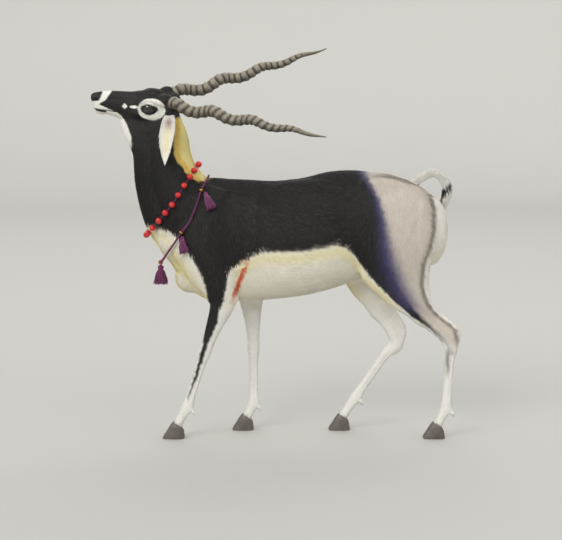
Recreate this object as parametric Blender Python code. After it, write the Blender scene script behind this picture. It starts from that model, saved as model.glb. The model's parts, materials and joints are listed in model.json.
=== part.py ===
"""A standing male blackbuck at life size, wearing a string of beads and a tasselled collar.

Metres, +Z up. The buck faces -X, its left side is towards -Y, and it stands on Z = 0. The flesh is
modelled whole from lofts and muscle masses, then parted into head, neck, torso and legs by thin cuts.
"""

import math
from dataclasses import dataclass

import bmesh
import bpy
import numpy as np
from mathutils import Matrix, Vector
from mathutils.bvhtree import BVHTree

# Driving sizes of the buck.
WITHERS = 0.797
CHEST_HALF_WIDTH = 0.106
BELLY_HALF_WIDTH = 0.120
JOINTS_OUT = (0.082, 0.079, 0.075, 0.072, 0.070)
HEAD_PITCH = math.radians(3)
HEAD_ROLL = math.radians(25)
HEAD_JOINT = Vector((-0.338, 0.0, 1.000))

# Driving sizes of the horns, ears and eyes.
HORN_RUN = 0.575
HORN_BASE_RADIUS = 0.0195
HORN_SPREAD = math.radians(31)
HORN_RISE = math.radians(6.4)
HORN_DIP = math.radians(9)
HORN_COIL = 0.0092
HORN_TURNS = 4.07
HORN_START = 2.63
HORN_RINGS = 22
HORN_SMOOTH_FROM = 0.84
EAR_LENGTH = 0.158
EAR_HALF_WIDTH = 0.0225
EYE_RADIUS = 0.0205
EYE_HALF_LONG = 0.0183
EYE_HALF_HIGH = 0.0124
EYE_CENTRE = (0.052, 0.0322, 0.028)

# Driving sizes of what it wears.
BEAD_RADIUS = 0.0097
BEAD_COUNT = 21
BEAD_STRING_RADIUS = 0.0016
COLLAR_RADIUS = 0.0030
COLLAR_HANG = 0.016
RING_RADIUS = 0.0056
RING_WIRE = 0.0023
TASSEL_LENGTH = 0.052
TASSEL_HALF_WIDTH = 0.0160
TASSEL_HALF_DEPTH = 0.0075
PENDANT_LENGTH = 0.062
PENDANT_RADII = (0.023, 0.024)

# Where the beads and the collar lie: a point inside the neck, then the ways up to the nape and
# down to the throat. Turns are degrees round the neck from the nape.
BEAD_LINE = (Vector((-0.318, 0, 0.717)), Vector((0.505, 0, 0.863)), Vector((-0.645, 0, -0.764)))
COLLAR_LINE = (Vector((-0.262, 0, 0.672)), Vector((0.365, 0, 0.931)), Vector((-0.548, 0, -0.836)))
COLLAR_STEPS = 48
FRONT_TURN = 180
RING_TURNS = {"upper": 38, "lower": 112}
TASSEL_HANG = {"upper": Vector((0.95, 0, -0.30)), "lower": Vector((0.25, 0, -0.97))}

# Working sizes: the gap between nodes, the remesh grids and the triangle budgets.
GAP = 0.0003
SHORTEST_EDGE = 0.00003
BODY_VOXEL = 0.006
SKIN_VOXEL = 0.0034
HEAD_FACES = 1700
BODY_FACES = 3600

# Colours, linear RGB.
BLACK_COAT = (0.022, 0.019, 0.017)
GREY_COAT = (0.50, 0.45, 0.38)
WHITE_COAT = (0.80, 0.77, 0.69)
HORN_GREY = (0.20, 0.175, 0.13)
HOOF_GREY = (0.11, 0.095, 0.085)
EYE_BROWN = (0.03, 0.016, 0.008)
BEAD_RED = (0.62, 0.035, 0.022)
CORD_PURPLE = (0.20, 0.03, 0.13)
BRASS = (0.72, 0.42, 0.08)

LEFT, RIGHT = -1, 1
DOWN = Vector((0, 0, -1))
SIDEWAYS = Vector((0, 1, 0))

# Working sizes of the tail: steps between its stations, the locks' length in those steps, the run
# past its end, and each tier's start and number of locks.
TAIL_STEPS = 3
TAIL_LOCK_SPAN = 5
TAIL_LOCK_SHAPE = ((0.0, 0.0070), (0.5, 0.0080), (1.0, 0.0012))
TAIL_PAST_END = (0.009, 0.018, 0.027)
TAIL_TIERS = ((7, 5), (11, 6), (15, 6), (18, 5))


def clear_scene():
    """Empties the file, so that the script can be run again."""
    for item in list(bpy.data.objects):
        bpy.data.objects.remove(item)


def material(name, colour, roughness, metallic=0.0):
    """One Principled finish."""
    made = bpy.data.materials.new(name)
    made.use_nodes = True
    shader = made.node_tree.nodes["Principled BSDF"]
    shader.inputs["Base Color"].default_value = (*colour, 1)
    shader.inputs["Roughness"].default_value = roughness
    shader.inputs["Metallic"].default_value = metallic
    return made


def mesh_object(name, bm):
    """Links a bmesh as an object, with its faces turned outwards."""
    bmesh.ops.recalc_face_normals(bm, faces=bm.faces)
    mesh = bpy.data.meshes.new(name)
    bm.to_mesh(mesh)
    bm.free()
    made = bpy.data.objects.new(name, mesh)
    bpy.context.scene.collection.objects.link(made)
    return made


def settle(item):
    """Makes an object's modifiers part of its mesh."""
    bpy.context.view_layer.update()
    graph = bpy.context.evaluated_depsgraph_get()
    mesh = bpy.data.meshes.new_from_object(item.evaluated_get(graph))
    item.modifiers.clear()
    item.data = mesh
    return item


def gather(name, pieces):
    """Joins several meshes into one object, still overlapping."""
    bm = bmesh.new()
    for piece in pieces:
        bm.from_mesh(piece.data)
        bpy.data.objects.remove(piece)
    mesh = bpy.data.meshes.new(name)
    bm.to_mesh(mesh)
    bm.free()
    made = bpy.data.objects.new(name, mesh)
    bpy.context.scene.collection.objects.link(made)
    return made


def boolean(item, tools, operation):
    """Cuts or joins an item with a list of closed objects, and removes those."""
    group = bpy.data.collections.new("tools")
    for tool in tools:
        group.objects.link(tool)
    step = item.modifiers.new("Boolean", "BOOLEAN")
    step.operation = operation
    step.solver = "EXACT"
    step.operand_type = "COLLECTION"
    step.collection = group
    settle(item)
    bpy.data.collections.remove(group)
    for tool in tools:
        bpy.data.objects.remove(tool)
    return item


def islands(item):
    """Splits a mesh into its separate closed surfaces, each a list of face indices."""
    bm = bmesh.new()
    bm.from_mesh(item.data)
    bm.faces.ensure_lookup_table()
    seen = set()
    found = []
    for face in bm.faces:
        if face.index in seen:
            continue
        seen.add(face.index)
        queue = [face]
        island = []
        while queue:
            here = queue.pop()
            island.append(here.index)
            for edge in here.edges:
                for other in edge.link_faces:
                    if other.index not in seen:
                        seen.add(other.index)
                        queue.append(other)
        found.append(island)
    bm.free()
    return sorted(found, key=len, reverse=True)


def only_faces(item, name, faces):
    """A new object made of some faces of an item."""
    kept = set(faces)
    bm = bmesh.new()
    bm.from_mesh(item.data)
    bmesh.ops.delete(bm, geom=[f for f in bm.faces if f.index not in kept], context="FACES")
    mesh = bpy.data.meshes.new(name)
    bm.to_mesh(mesh)
    bm.free()
    made = bpy.data.objects.new(name, mesh)
    bpy.context.scene.collection.objects.link(made)
    return made


def close_up(item):
    """Merges the shortest edges of a mesh and drops the folded slivers that a cut leaves."""
    bm = bmesh.new()
    bm.from_mesh(item.data)
    bmesh.ops.triangulate(bm, faces=bm.faces)
    bmesh.ops.remove_doubles(bm, verts=bm.verts, dist=SHORTEST_EDGE)
    bmesh.ops.dissolve_degenerate(bm, dist=SHORTEST_EDGE, edges=bm.edges)
    bmesh.ops.triangulate(bm, faces=bm.faces)
    corners = {}
    for face in bm.faces:
        corners.setdefault(frozenset(vertex.index for vertex in face.verts), []).append(face)
    folded = [face for faces in corners.values() if len(faces) > 1 for face in faces]
    bmesh.ops.delete(bm, geom=folded, context="FACES")
    bm.to_mesh(item.data)
    bm.free()
    return item


def keep_largest(item):
    """Drops all but the largest closed surface of a mesh."""
    name = item.name
    whole = only_faces(item, name + "_whole", islands(item)[0])
    bpy.data.objects.remove(item)
    whole.name = name
    return close_up(whole)


def smooth_run(stations, steps):
    """Catmull-Rom points through rows of numbers, with so many steps between each pair."""
    rows = np.array(stations, float)
    ends = np.vstack([2 * rows[0] - rows[1], rows, 2 * rows[-1] - rows[-2]])
    run = []
    for i in range(len(rows) - 1):
        a, b, c, d = ends[i : i + 4]
        for k in range(steps):
            t = k / steps
            straight = 2 * b + (c - a) * t
            bent = (2 * a - 5 * b + 4 * c - d) * t**2 + (3 * b - a - 3 * c + d) * t**3
            run.append((straight + bent) / 2)
    run.append(rows[-1])
    return run


def skin_over(name, rings, closed_loop=False):
    """A closed mesh over rings of points, capped at both ends or joined end to start."""
    bm = bmesh.new()
    rows = [[bm.verts.new(point) for point in ring] for ring in rings]
    sides = len(rows[0])
    pairs = list(zip(rows, rows[1:]))
    if closed_loop:
        pairs.append((rows[-1], rows[0]))
    for one, two in pairs:
        for i in range(sides):
            j = (i + 1) % sides
            bm.faces.new((one[i], one[j], two[j], two[i]))
    if not closed_loop:
        bm.faces.new(rows[0])
        bm.faces.new(rows[-1])
    return mesh_object(name, bm)


def oval(centre, along, across, sides, egg=0.0):
    """A ring of points on an oval, with `egg` making it wider away from `along`."""
    ring = []
    for i in range(sides):
        turn = math.tau * i / sides
        wide = math.sin(turn) * (1 - egg * math.cos(turn))
        ring.append(centre + along * math.cos(turn) + across * wide)
    return ring


def trunk_loft(name, stations, sides=28, steps=4):
    """A loft along X through rows of (x, top, bottom, half width, egg)."""
    rings = []
    for x, top, bottom, half_width, egg in smooth_run(stations, steps):
        centre = Vector((x, 0, (top + bottom) / 2))
        up = Vector((0, 0, (top - bottom) / 2))
        rings.append(oval(centre, up, SIDEWAYS * half_width, sides, egg))
    return skin_over(name, rings)


def limb_loft(name, stations, sides=16, steps=4):
    """A loft along a limb through rows of (x, y, z, half depth fore and aft, half width)."""
    run = [(Vector(row[:3]), row[3], row[4]) for row in smooth_run(stations, steps)]
    rings = []
    for i, (centre, depth, width) in enumerate(run):
        ahead = run[min(i + 1, len(run) - 1)][0] - run[max(i - 1, 0)][0]
        fore = SIDEWAYS.cross(ahead).normalized()
        side = ahead.cross(fore).normalized()
        rings.append(oval(centre, fore * depth, side * width, sides))
    return skin_over(name, rings)


def blob(name, centre, radii, pitch=0.0, frame=Matrix(), segments=20, rows=12):
    """An ellipsoid muscle or joint, pitched about Y, in a frame."""
    bm = bmesh.new()
    bmesh.ops.create_uvsphere(bm, u_segments=segments, v_segments=rows, radius=1)
    turn = Matrix.Rotation(pitch, 4, "Y")
    place = frame @ Matrix.Translation(centre) @ turn @ Matrix.Diagonal((*radii, 1))
    bmesh.ops.transform(bm, matrix=place, verts=bm.verts)
    return mesh_object(name, bm)


# The head's own frame: x' towards the nose, y' to the buck's left, z' up, at the joint of head and neck.
HEAD = (
    Matrix.Translation(HEAD_JOINT)
    @ Matrix.Rotation(math.pi, 4, "Z")
    @ Matrix.Rotation(-HEAD_PITCH, 4, "Y")
    @ Matrix.Rotation(-HEAD_ROLL, 4, "X")
)


def trunk_pieces():
    """The barrel of the body, from breast to buttocks, and its large muscles."""
    barrel = trunk_loft(
        "barrel",
        (
            (-0.378, 0.668, 0.625, 0.024, 0.0),
            (-0.350, 0.705, 0.570, 0.052, 0.0),
            (-0.310, 0.738, 0.505, 0.070, -0.02),
            (-0.265, 0.764, 0.450, 0.082, -0.03),
            (-0.215, 0.786, 0.420, 0.094, -0.03),
            (-0.130, WITHERS, 0.415, CHEST_HALF_WIDTH, 0.0),
            (-0.020, 0.790, 0.420, 0.117, 0.10),
            (0.080, 0.800, 0.432, BELLY_HALF_WIDTH, 0.16),
            (0.160, 0.820, 0.450, 0.117, 0.15),
            (0.240, 0.824, 0.478, 0.106, 0.08),
            (0.330, 0.812, 0.505, 0.100, 0.0),
            (0.395, 0.796, 0.520, 0.090, 0.0),
            (0.445, 0.772, 0.525, 0.074, 0.0),
            (0.485, 0.738, 0.540, 0.054, 0.0),
            (0.514, 0.694, 0.592, 0.028, 0.0),
        ),
    )
    pieces = [barrel]
    for side in (LEFT, RIGHT):
        pieces += [
            blob("loin", (0.17, side * 0.040, 0.764), (0.20, 0.036, 0.034), 0.02),
            blob("croup", (0.345, side * 0.050, 0.750), (0.110, 0.048, 0.058), 0.30),
            blob("buttock", (0.464, side * 0.041, 0.640), (0.063, 0.045, 0.112), 0.0),
            blob("breast", (-0.320, side * 0.030, 0.590), (0.042, 0.034, 0.066), -0.55),
        ]
    pieces.append(blob("brisket", (-0.268, 0, 0.492), (0.050, 0.046, 0.052), 0.6))
    pieces.append(blob("withers", (-0.185, 0, 0.768), (0.085, 0.026, 0.034), 0.05))
    return pieces


def neck_pieces():
    """The neck, deep from front to back, leaning from the shoulders up to the head."""
    core = limb_loft(
        "neck_core",
        (
            (-0.347, 0, 1.010, 0.050, 0.036),
            (-0.356, 0, 0.965, 0.074, 0.043),
            (-0.355, 0, 0.915, 0.087, 0.046),
            (-0.353, 0, 0.865, 0.091, 0.051),
            (-0.342, 0, 0.805, 0.101, 0.059),
            (-0.316, 0, 0.742, 0.117, 0.070),
            (-0.277, 0, 0.682, 0.132, 0.082),
            (-0.222, 0, 0.635, 0.135, 0.088),
        ),
        sides=24,
    )
    throat = limb_loft(
        "throat_fold",
        (
            (-0.436, 0, 0.986, 0.052, 0.024),
            (-0.427, 0, 0.955, 0.053, 0.028),
            (-0.414, 0, 0.924, 0.051, 0.032),
            (-0.400, 0, 0.893, 0.049, 0.036),
            (-0.390, 0, 0.862, 0.050, 0.040),
        ),
    )
    pieces = [core, throat]
    for side in (LEFT, RIGHT):
        pieces.append(
            limb_loft(
                "neck_muscle",
                (
                    (-0.335, side * 0.022, 0.985, 0.028, 0.022),
                    (-0.345, side * 0.034, 0.900, 0.040, 0.022),
                    (-0.330, side * 0.045, 0.810, 0.055, 0.026),
                    (-0.270, side * 0.062, 0.690, 0.070, 0.030),
                ),
            )
        )
    return pieces


def shoulder_pieces(side, elbow):
    """The shoulder blade's muscles and the upper arm, down to a given elbow."""
    swing = elbow.x + 0.13
    return [
        limb_loft(
            "shoulder",
            (
                (-0.165 + swing * 0.1, side * 0.050, 0.765, 0.050, 0.022),
                (-0.190 + swing * 0.2, side * 0.070, 0.690, 0.072, 0.032),
                (-0.215 + swing * 0.3, side * 0.083, 0.610, 0.080, 0.036),
                (-0.200 + swing * 0.5, side * 0.086, 0.540, 0.074, 0.038),
                (elbow.x - 0.014, side * 0.086, 0.475, 0.058, 0.034),
                (elbow.x - 0.006, side * 0.085, 0.430, 0.044, 0.029),
            ),
            sides=20,
        ),
        blob("point_of_shoulder", (-0.270 + swing * 0.3, side * 0.070, 0.585), (0.040, 0.032, 0.050)),
        blob("elbow", (elbow.x + 0.030, side * 0.084, elbow.z + 0.010), (0.022, 0.018, 0.026), 0.3),
    ]


def foreleg_pieces(elbow, knee, fetlock, coronet):
    """A foreleg from the elbow down, through named joints."""
    mid_arm = elbow.lerp(knee, 0.45)
    mid_cannon = knee.lerp(fetlock, 0.5)
    return [
        limb_loft(
            "foreleg",
            (
                (elbow.x, elbow.y, elbow.z + 0.03, 0.046, 0.030),
                (elbow.x - 0.002, elbow.y, elbow.z - 0.015, 0.040, 0.027),
                (*mid_arm, 0.0285, 0.0215),
                (*elbow.lerp(knee, 0.82), 0.0215, 0.0175),
                (*knee, 0.0228, 0.0195),
                (*knee.lerp(fetlock, 0.17), 0.0178, 0.0160),
                (*mid_cannon, 0.0162, 0.0132),
                (*knee.lerp(fetlock, 0.84), 0.0165, 0.0138),
                (*fetlock, 0.0200, 0.0172),
                (*fetlock.lerp(coronet, 0.5), 0.0165, 0.0160),
                (*coronet, 0.0185, 0.0182),
            ),
        ),
        blob("fetlock_pad", fetlock + Vector((0.012, 0, -0.006)), (0.013, 0.014, 0.015)),
        blob("knee_pad", knee + Vector((-0.007, 0, 0.004)), (0.018, 0.017, 0.022)),
    ]


def hindleg_pieces(side, hip, stifle, hock, fetlock, coronet):
    """A hind leg from the hip down, through named joints."""
    gaskin = stifle.lerp(hock, 0.5)
    heel = hock + Vector((0.024, 0, 0.030))
    calf = stifle.lerp(hock, 0.30) + Vector((0.035, 0, 0.012))
    return [
        limb_loft(
            "thigh",
            (
                (hip.x, side * 0.052, hip.z + 0.03, 0.085, 0.034),
                (hip.x + 0.010, side * 0.072, hip.z - 0.045, 0.123, 0.046),
                (hip.x * 0.7 + stifle.x * 0.3 + 0.034, side * 0.080, hip.z - 0.125, 0.125, 0.050),
                (hip.x * 0.4 + stifle.x * 0.6 + 0.048, side * 0.081, hip.z - 0.190, 0.117, 0.048),
                (stifle.x + 0.083, side * 0.080, stifle.z, 0.094, 0.042),
                (stifle.x + 0.098, side * 0.079, stifle.z - 0.038, 0.076, 0.036),
                (gaskin.x + 0.012, side * 0.078, gaskin.z + 0.012, 0.051, 0.029),
                (*stifle.lerp(hock, 0.70), 0.036, 0.023),
            ),
            sides=22,
        ),
        limb_loft(
            "gaskin",
            (
                (*stifle, 0.044, 0.036),
                (*stifle.lerp(hock, 0.28), 0.046, 0.033),
                (*gaskin, 0.034, 0.0255),
                (*stifle.lerp(hock, 0.76), 0.0245, 0.0190),
                (*stifle.lerp(hock, 0.93), 0.0235, 0.0185),
                (*(hock + Vector((0.003, 0, -0.022))), 0.0240, 0.0190),
                (*hock.lerp(fetlock, 0.24), 0.0195, 0.0160),
                (*hock.lerp(fetlock, 0.55), 0.0165, 0.0138),
                (*hock.lerp(fetlock, 0.86), 0.0168, 0.0142),
                (*fetlock, 0.0202, 0.0172),
                (*fetlock.lerp(coronet, 0.5), 0.0165, 0.0160),
                (*coronet, 0.0185, 0.0182),
            ),
        ),
        limb_loft(
            "tendon",
            (
                (*calf, 0.026, 0.020),
                (*calf.lerp(heel, 0.5), 0.0135, 0.0115),
                (*heel, 0.0115, 0.0115),
                (*(hock + Vector((0.010, 0, -0.012))), 0.0125, 0.0125),
            ),
        ),
        blob("fetlock_pad", fetlock + Vector((0.012, 0, -0.006)), (0.013, 0.014, 0.015)),
        blob("kneecap", stifle + Vector((-0.012, side * 0.004, 0.010)), (0.034, 0.028, 0.042), 0.5),
    ]


@dataclass(frozen=True)
class Leg:
    """One leg's joints, each as (x, z), from the body down."""

    name: str
    side: int
    joints: tuple

    def points(self):
        """The joints as vectors, a little further in towards the foot."""
        outs = JOINTS_OUT[-len(self.joints) :]
        return [Vector((x, self.side * out, z)) for (x, z), out in zip(self.joints, outs)]


FORELEGS = (
    Leg(
        "foreleg_left",
        LEFT,
        ((-0.166, 0.425), (-0.222, 0.264), (-0.276, 0.098), (-0.309, 0.036)),
    ),
    Leg(
        "foreleg_right",
        RIGHT,
        ((-0.080, 0.425), (-0.074, 0.258), (-0.074, 0.086), (-0.098, 0.034)),
    ),
)
HINDLEGS = (
    Leg(
        "hindleg_left",
        LEFT,
        ((0.345, 0.745), (0.300, 0.505), (0.532, 0.302), (0.520, 0.094), (0.492, 0.036)),
    ),
    Leg(
        "hindleg_right",
        RIGHT,
        ((0.330, 0.745), (0.232, 0.515), (0.376, 0.290), (0.247, 0.104), (0.205, 0.038)),
    ),
)


def head_pieces():
    """Skull, jaws, cheeks and muzzle in the head's own frame."""
    skull = trunk_loft(
        "skull",
        (
            (-0.040, 0.036, 0.000, 0.020, 0.0),
            (-0.018, 0.056, -0.040, 0.038, 0.0),
            (0.018, 0.066, -0.058, 0.044, 0.0),
            (0.052, 0.068, -0.056, 0.0455, -0.12),
            (0.082, 0.065, -0.047, 0.0405, -0.08),
            (0.112, 0.0615, -0.042, 0.0335, 0.05),
            (0.142, 0.059, -0.030, 0.0280, 0.12),
            (0.172, 0.0570, -0.019, 0.0245, 0.14),
            (0.198, 0.0545, -0.012, 0.0235, 0.14),
            (0.216, 0.0500, -0.005, 0.0205, 0.10),
            (0.229, 0.0400, 0.008, 0.0110, 0.0),
        ),
        sides=24,
    )
    skull.data.transform(HEAD)
    pieces = [skull]
    for side in (LEFT, RIGHT):
        y = -side
        pieces += [
            blob("brow", (0.048, y * 0.0285, 0.047), (0.036, 0.0165, 0.0165), 0.06, HEAD),
            blob("cheekbone", (0.060, y * 0.038, 0.005), (0.050, 0.011, 0.014), -0.16, HEAD),
            blob("jaw_muscle", (0.018, y * 0.032, -0.022), (0.044, 0.017, 0.036), 0.35, HEAD),
            blob("tear_gland", (0.094, y * 0.0280, 0.024), (0.024, 0.008, 0.014), -0.1, HEAD),
            blob("horn_seat", (0.004, y * 0.028, 0.050), (0.027, 0.022, 0.022), 0.3, HEAD),
            blob("ear_seat", (-0.012, y * 0.038, 0.014), (0.019, 0.013, 0.020), 0, HEAD),
            blob("nostril_wing", (0.215, y * 0.0105, 0.036), (0.016, 0.0095, 0.014), 0.2, HEAD),
            blob("upper_lip", (0.196, y * 0.0125, 0.0135), (0.032, 0.0115, 0.0125), 0.05, HEAD),
        ]
    pieces += [
        blob("nose_pad", (0.2225, 0, 0.037), (0.0125, 0.014, 0.0155), 0.2, HEAD),
        blob("nose_bridge", (0.150, 0, 0.053), (0.075, 0.013, 0.009), 0.02, HEAD),
        blob("lower_lip", (0.195, 0, -0.0080), (0.026, 0.0150, 0.0110), 0.12, HEAD),
        blob("poll", (-0.018, 0, 0.038), (0.026, 0.030, 0.026), 0, HEAD),
        blob("forelock", (0.040, 0, 0.066), (0.024, 0.017, 0.010), 0, HEAD),
        blob("throat", (0.010, 0, -0.046), (0.040, 0.028, 0.028), 0.5, HEAD),
    ]
    return pieces


def fuse(name, pieces, voxel, rounds):
    """Melts overlapping pieces into one smooth closed skin."""
    whole = gather(name, pieces)
    remesh = whole.modifiers.new("Remesh", "REMESH")
    remesh.mode = "VOXEL"
    remesh.voxel_size = voxel
    ease = whole.modifiers.new("Smooth", "SMOOTH")
    ease.factor = 0.5
    ease.iterations = rounds
    return settle(whole)


def in_head_region(point):
    """Whether a point belongs to the head, which keeps finer faces."""
    local = HEAD.inverted() @ point
    return local.x > -0.055 and local.z > -0.09


def thin_out(item):
    """Reduces the flesh to its face budgets, with the head kept finer than the rest."""
    triangles = item.modifiers.new("Triangulate", "TRIANGULATE")
    triangles.quad_method = "BEAUTY"
    settle(item)
    for region, budget in ((False, BODY_FACES), (True, HEAD_FACES)):
        group = item.vertex_groups.new(name="thin")
        chosen = [v.index for v in item.data.vertices if in_head_region(v.co) == region]
        group.add(chosen, 1.0, "REPLACE")
        inside = set(chosen)
        count = sum(all(v in inside for v in p.vertices) for p in item.data.polygons)
        total = len(item.data.polygons)
        thin = item.modifiers.new("Decimate", "DECIMATE")
        thin.ratio = (total - count + budget) / total
        thin.vertex_group = group.name
        thin.use_collapse_triangulate = True
        settle(item)
        item.vertex_groups.clear()
    return item


def cut_slab(name, centre, normal, size, along=Vector((1, 0, 0))):
    """A thin plate that parts two nodes: its centre, its normal and its two sides."""
    normal = Vector(normal).normalized()
    along = (along - normal * along.dot(normal)).normalized()
    across = normal.cross(along)
    place = Matrix((along, across, normal)).transposed().to_4x4()
    place.translation = Vector(centre)
    bm = bmesh.new()
    bmesh.ops.create_cube(bm, size=1)
    bmesh.ops.transform(bm, matrix=place @ Matrix.Diagonal((size[0], size[1], GAP, 1)), verts=bm.verts)
    return mesh_object(name, bm)


def cuts():
    """All the thin plates that part the flesh."""
    plates = [
        cut_slab("cut_head", (-0.390, 0, 0.938), (-0.47, 0, 0.88), (0.27, 0.24)),
        cut_slab("cut_neck", (-0.314, 0, 0.729), (-0.60, 0, 0.80), (0.34, 0.30)),
    ]
    for leg in FORELEGS:
        elbow, knee, fetlock = leg.points()[:3]
        middle = (elbow.x, leg.side * 0.078, 0.428)
        plates.append(cut_slab("cut_arm", middle, (0, -leg.side, 1), (0.20, 0.225)))
        plates.append(cut_slab("cut_knee", knee + (fetlock - knee) * 0.13, knee - fetlock, (0.09, 0.08)))
    for leg in HINDLEGS:
        stifle, hock, fetlock = leg.points()[1:4]
        x = stifle.x + 0.075
        middle = (x, leg.side * 0.075, 0.4795 + 0.30 * (x - 0.22))
        plates.append(cut_slab("cut_thigh", middle, (-0.30, -1.1 * leg.side, 1), (0.38, 0.25)))
        plates.append(cut_slab("cut_hock", hock + (fetlock - hock) * 0.22, hock - fetlock, (0.10, 0.08)))
    return plates


def part_flesh(flesh):
    """Parts the flesh with the plates and names each piece by a point that it surrounds."""
    boolean(flesh, cuts(), "DIFFERENCE")
    seeds = {
        "head": HEAD @ Vector((0.07, 0, 0.01)),
        "neck": Vector((-0.350, 0, 0.83)),
        "torso": Vector((0.05, 0, 0.60)),
    }
    for leg in FORELEGS:
        elbow, knee, fetlock = leg.points()[:3]
        seeds[leg.name + "_upper"] = elbow.lerp(knee, 0.6)
        seeds[leg.name + "_lower"] = knee.lerp(fetlock, 0.6)
    for leg in HINDLEGS:
        stifle, hock, fetlock = leg.points()[1:4]
        seeds[leg.name + "_upper"] = stifle.lerp(hock, 0.6)
        seeds[leg.name + "_lower"] = hock.lerp(fetlock, 0.6)
    parts = [only_faces(flesh, "piece", faces) for faces in islands(flesh)[: len(seeds)]]
    bpy.data.objects.remove(flesh)
    named = {}
    for name, seed in seeds.items():
        best = min(parts, key=lambda p: min((v.co - seed).length for v in p.data.vertices))
        parts.remove(best)
        best.name = name
        named[name] = best
    return named


def tree_of(item):
    """A search tree over an object's mesh."""
    bm = bmesh.new()
    bm.from_mesh(item.data)
    tree = BVHTree.FromBMesh(bm)
    bm.free()
    return tree


def grown(item, distance):
    """A copy of an item, swelled along its normals, to trim neighbours with."""
    copy = item.copy()
    copy.data = item.data.copy()
    bpy.context.scene.collection.objects.link(copy)
    swell = copy.modifiers.new("Displace", "DISPLACE")
    swell.strength = distance
    swell.mid_level = 0
    return settle(copy)


def trim(item, neighbour):
    """Cuts an item back to the gap from its neighbour's face, and keeps its largest piece."""
    boolean(item, [grown(neighbour, GAP)], "DIFFERENCE")
    return keep_largest(item)


def ball(name, centre, radius, frame, segments=16, rings=10, turn=Matrix()):
    """A sphere in a frame, its pole turned outwards."""
    bm = bmesh.new()
    bmesh.ops.create_uvsphere(bm, u_segments=segments, v_segments=rings, radius=radius)
    bmesh.ops.transform(bm, matrix=frame @ Matrix.Translation(centre) @ turn, verts=bm.verts)
    return mesh_object(name, bm)


def eye_frame(side):
    """The eye's own frame: z' out of the head and a little forward, x' along the lids."""
    y = -side
    outward = Vector((0.20, y * 1.0, 0.16)).normalized()
    along = Vector((1, 0, -0.10))
    along = (along - outward * along.dot(outward)).normalized()
    across = outward.cross(along)
    place = Matrix((along, across, outward)).transposed().to_4x4()
    place.translation = Vector((EYE_CENTRE[0], y * EYE_CENTRE[1], EYE_CENTRE[2]))
    return HEAD @ place


def make_eye(side, name, head):
    """An eyeball in its socket, with an upper and a lower lid over it."""
    frame = eye_frame(side)
    eyeball = ball(name, (0, 0, 0), EYE_RADIUS, frame, 12, 9)
    lids = ball("lids", (0, 0, 0), EYE_RADIUS + 0.0032, frame, 14, 10)
    boolean(head, [lids], "UNION")
    opening = []
    sides = 14
    for depth, grow in ((0.005, 0.96), (0.036, 1.36)):
        ring = []
        for i in range(sides):
            turn = math.tau * i / sides
            lens = abs(math.sin(turn)) ** 1.25 * math.copysign(1, math.sin(turn))
            reach = Vector((EYE_HALF_LONG * math.cos(turn), EYE_HALF_HIGH * lens, 0)) * grow
            ring.append(frame @ (reach + Vector((0, 0, depth))))
        opening.append(ring)
    socket = ball("socket", (0, 0, 0), EYE_RADIUS + 0.0005, frame, 12, 9)
    boolean(head, [skin_over("lid_opening", opening), socket], "DIFFERENCE")
    return eyeball


def tube_along(name, points, outs, radius, sides=6):
    """A closed tube along points, with the way out of the skin given at each, to cut a groove with."""
    rings = []
    for i, point in enumerate(points):
        ahead = (points[min(i + 1, len(points) - 1)] - points[max(i - 1, 0)]).normalized()
        out = (outs[i] - ahead * outs[i].dot(ahead)).normalized()
        rings.append(oval(point, out * radius, ahead.cross(out) * radius, sides))
    return skin_over(name, rings)


def cut_mouth(head):
    """The line of the mouth round the muzzle, and the two nostrils."""
    tree = tree_of(head)
    to_world = HEAD.to_3x3()
    line, outs = [], []
    steps = 15
    for i in range(steps + 1):
        turn = math.radians(-118 + 236 * i / steps)
        back = 0.5 - 0.5 * math.cos(turn)
        origin = HEAD @ Vector((0.178 - 0.020 * back, 0, 0.0065 - 0.0035 * back))
        way = to_world @ Vector((math.cos(turn), math.sin(turn) * 0.80, 0.02)).normalized()
        hit = tree.ray_cast(origin, way)[0]
        line.append(hit - way * 0.0002)
        outs.append(way)
    groove = tube_along("mouth_line", line, outs, 0.0013, 5)
    nostrils = []
    for y in (-1, 1):
        frame = HEAD @ Matrix.Translation((0.2235, y * 0.0125, 0.0375)) @ Matrix.Rotation(y * 0.75, 4, "Z")
        nostrils.append(blob("nostril", (0, 0, 0), (0.0070, 0.0026, 0.0046), 0.45, frame, 10, 7))
    boolean(head, [groove, *nostrils], "DIFFERENCE")
    return head


def horn_line(side, steps):
    """The horn's corkscrew line in the head's frame: the two horns coil against each other."""
    y = -side
    line = []
    here = Vector((0.013, y * 0.0280, 0.0455))
    step = HORN_RUN / steps
    for i in range(steps + 1):
        share = i / steps
        rise = HORN_RISE - HORN_DIP * math.exp(-share / 0.11)
        spread = HORN_SPREAD * (1 - 0.55 * math.exp(-share / 0.08))
        level = math.cos(rise)
        way = Vector((-math.cos(spread) * level, y * math.sin(spread) * level, math.sin(rise)))
        across = way.cross(Vector((0, 0, 1))).normalized()
        over = across.cross(way)
        radius = HORN_COIL * min(1.0, share / 0.10) * (1 - share) ** 0.54
        turn = math.tau * HORN_TURNS * share + HORN_START
        line.append(here + (across * y * math.cos(turn) - over * math.sin(turn)) * radius)
        here = here + way * step
    return line


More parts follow.
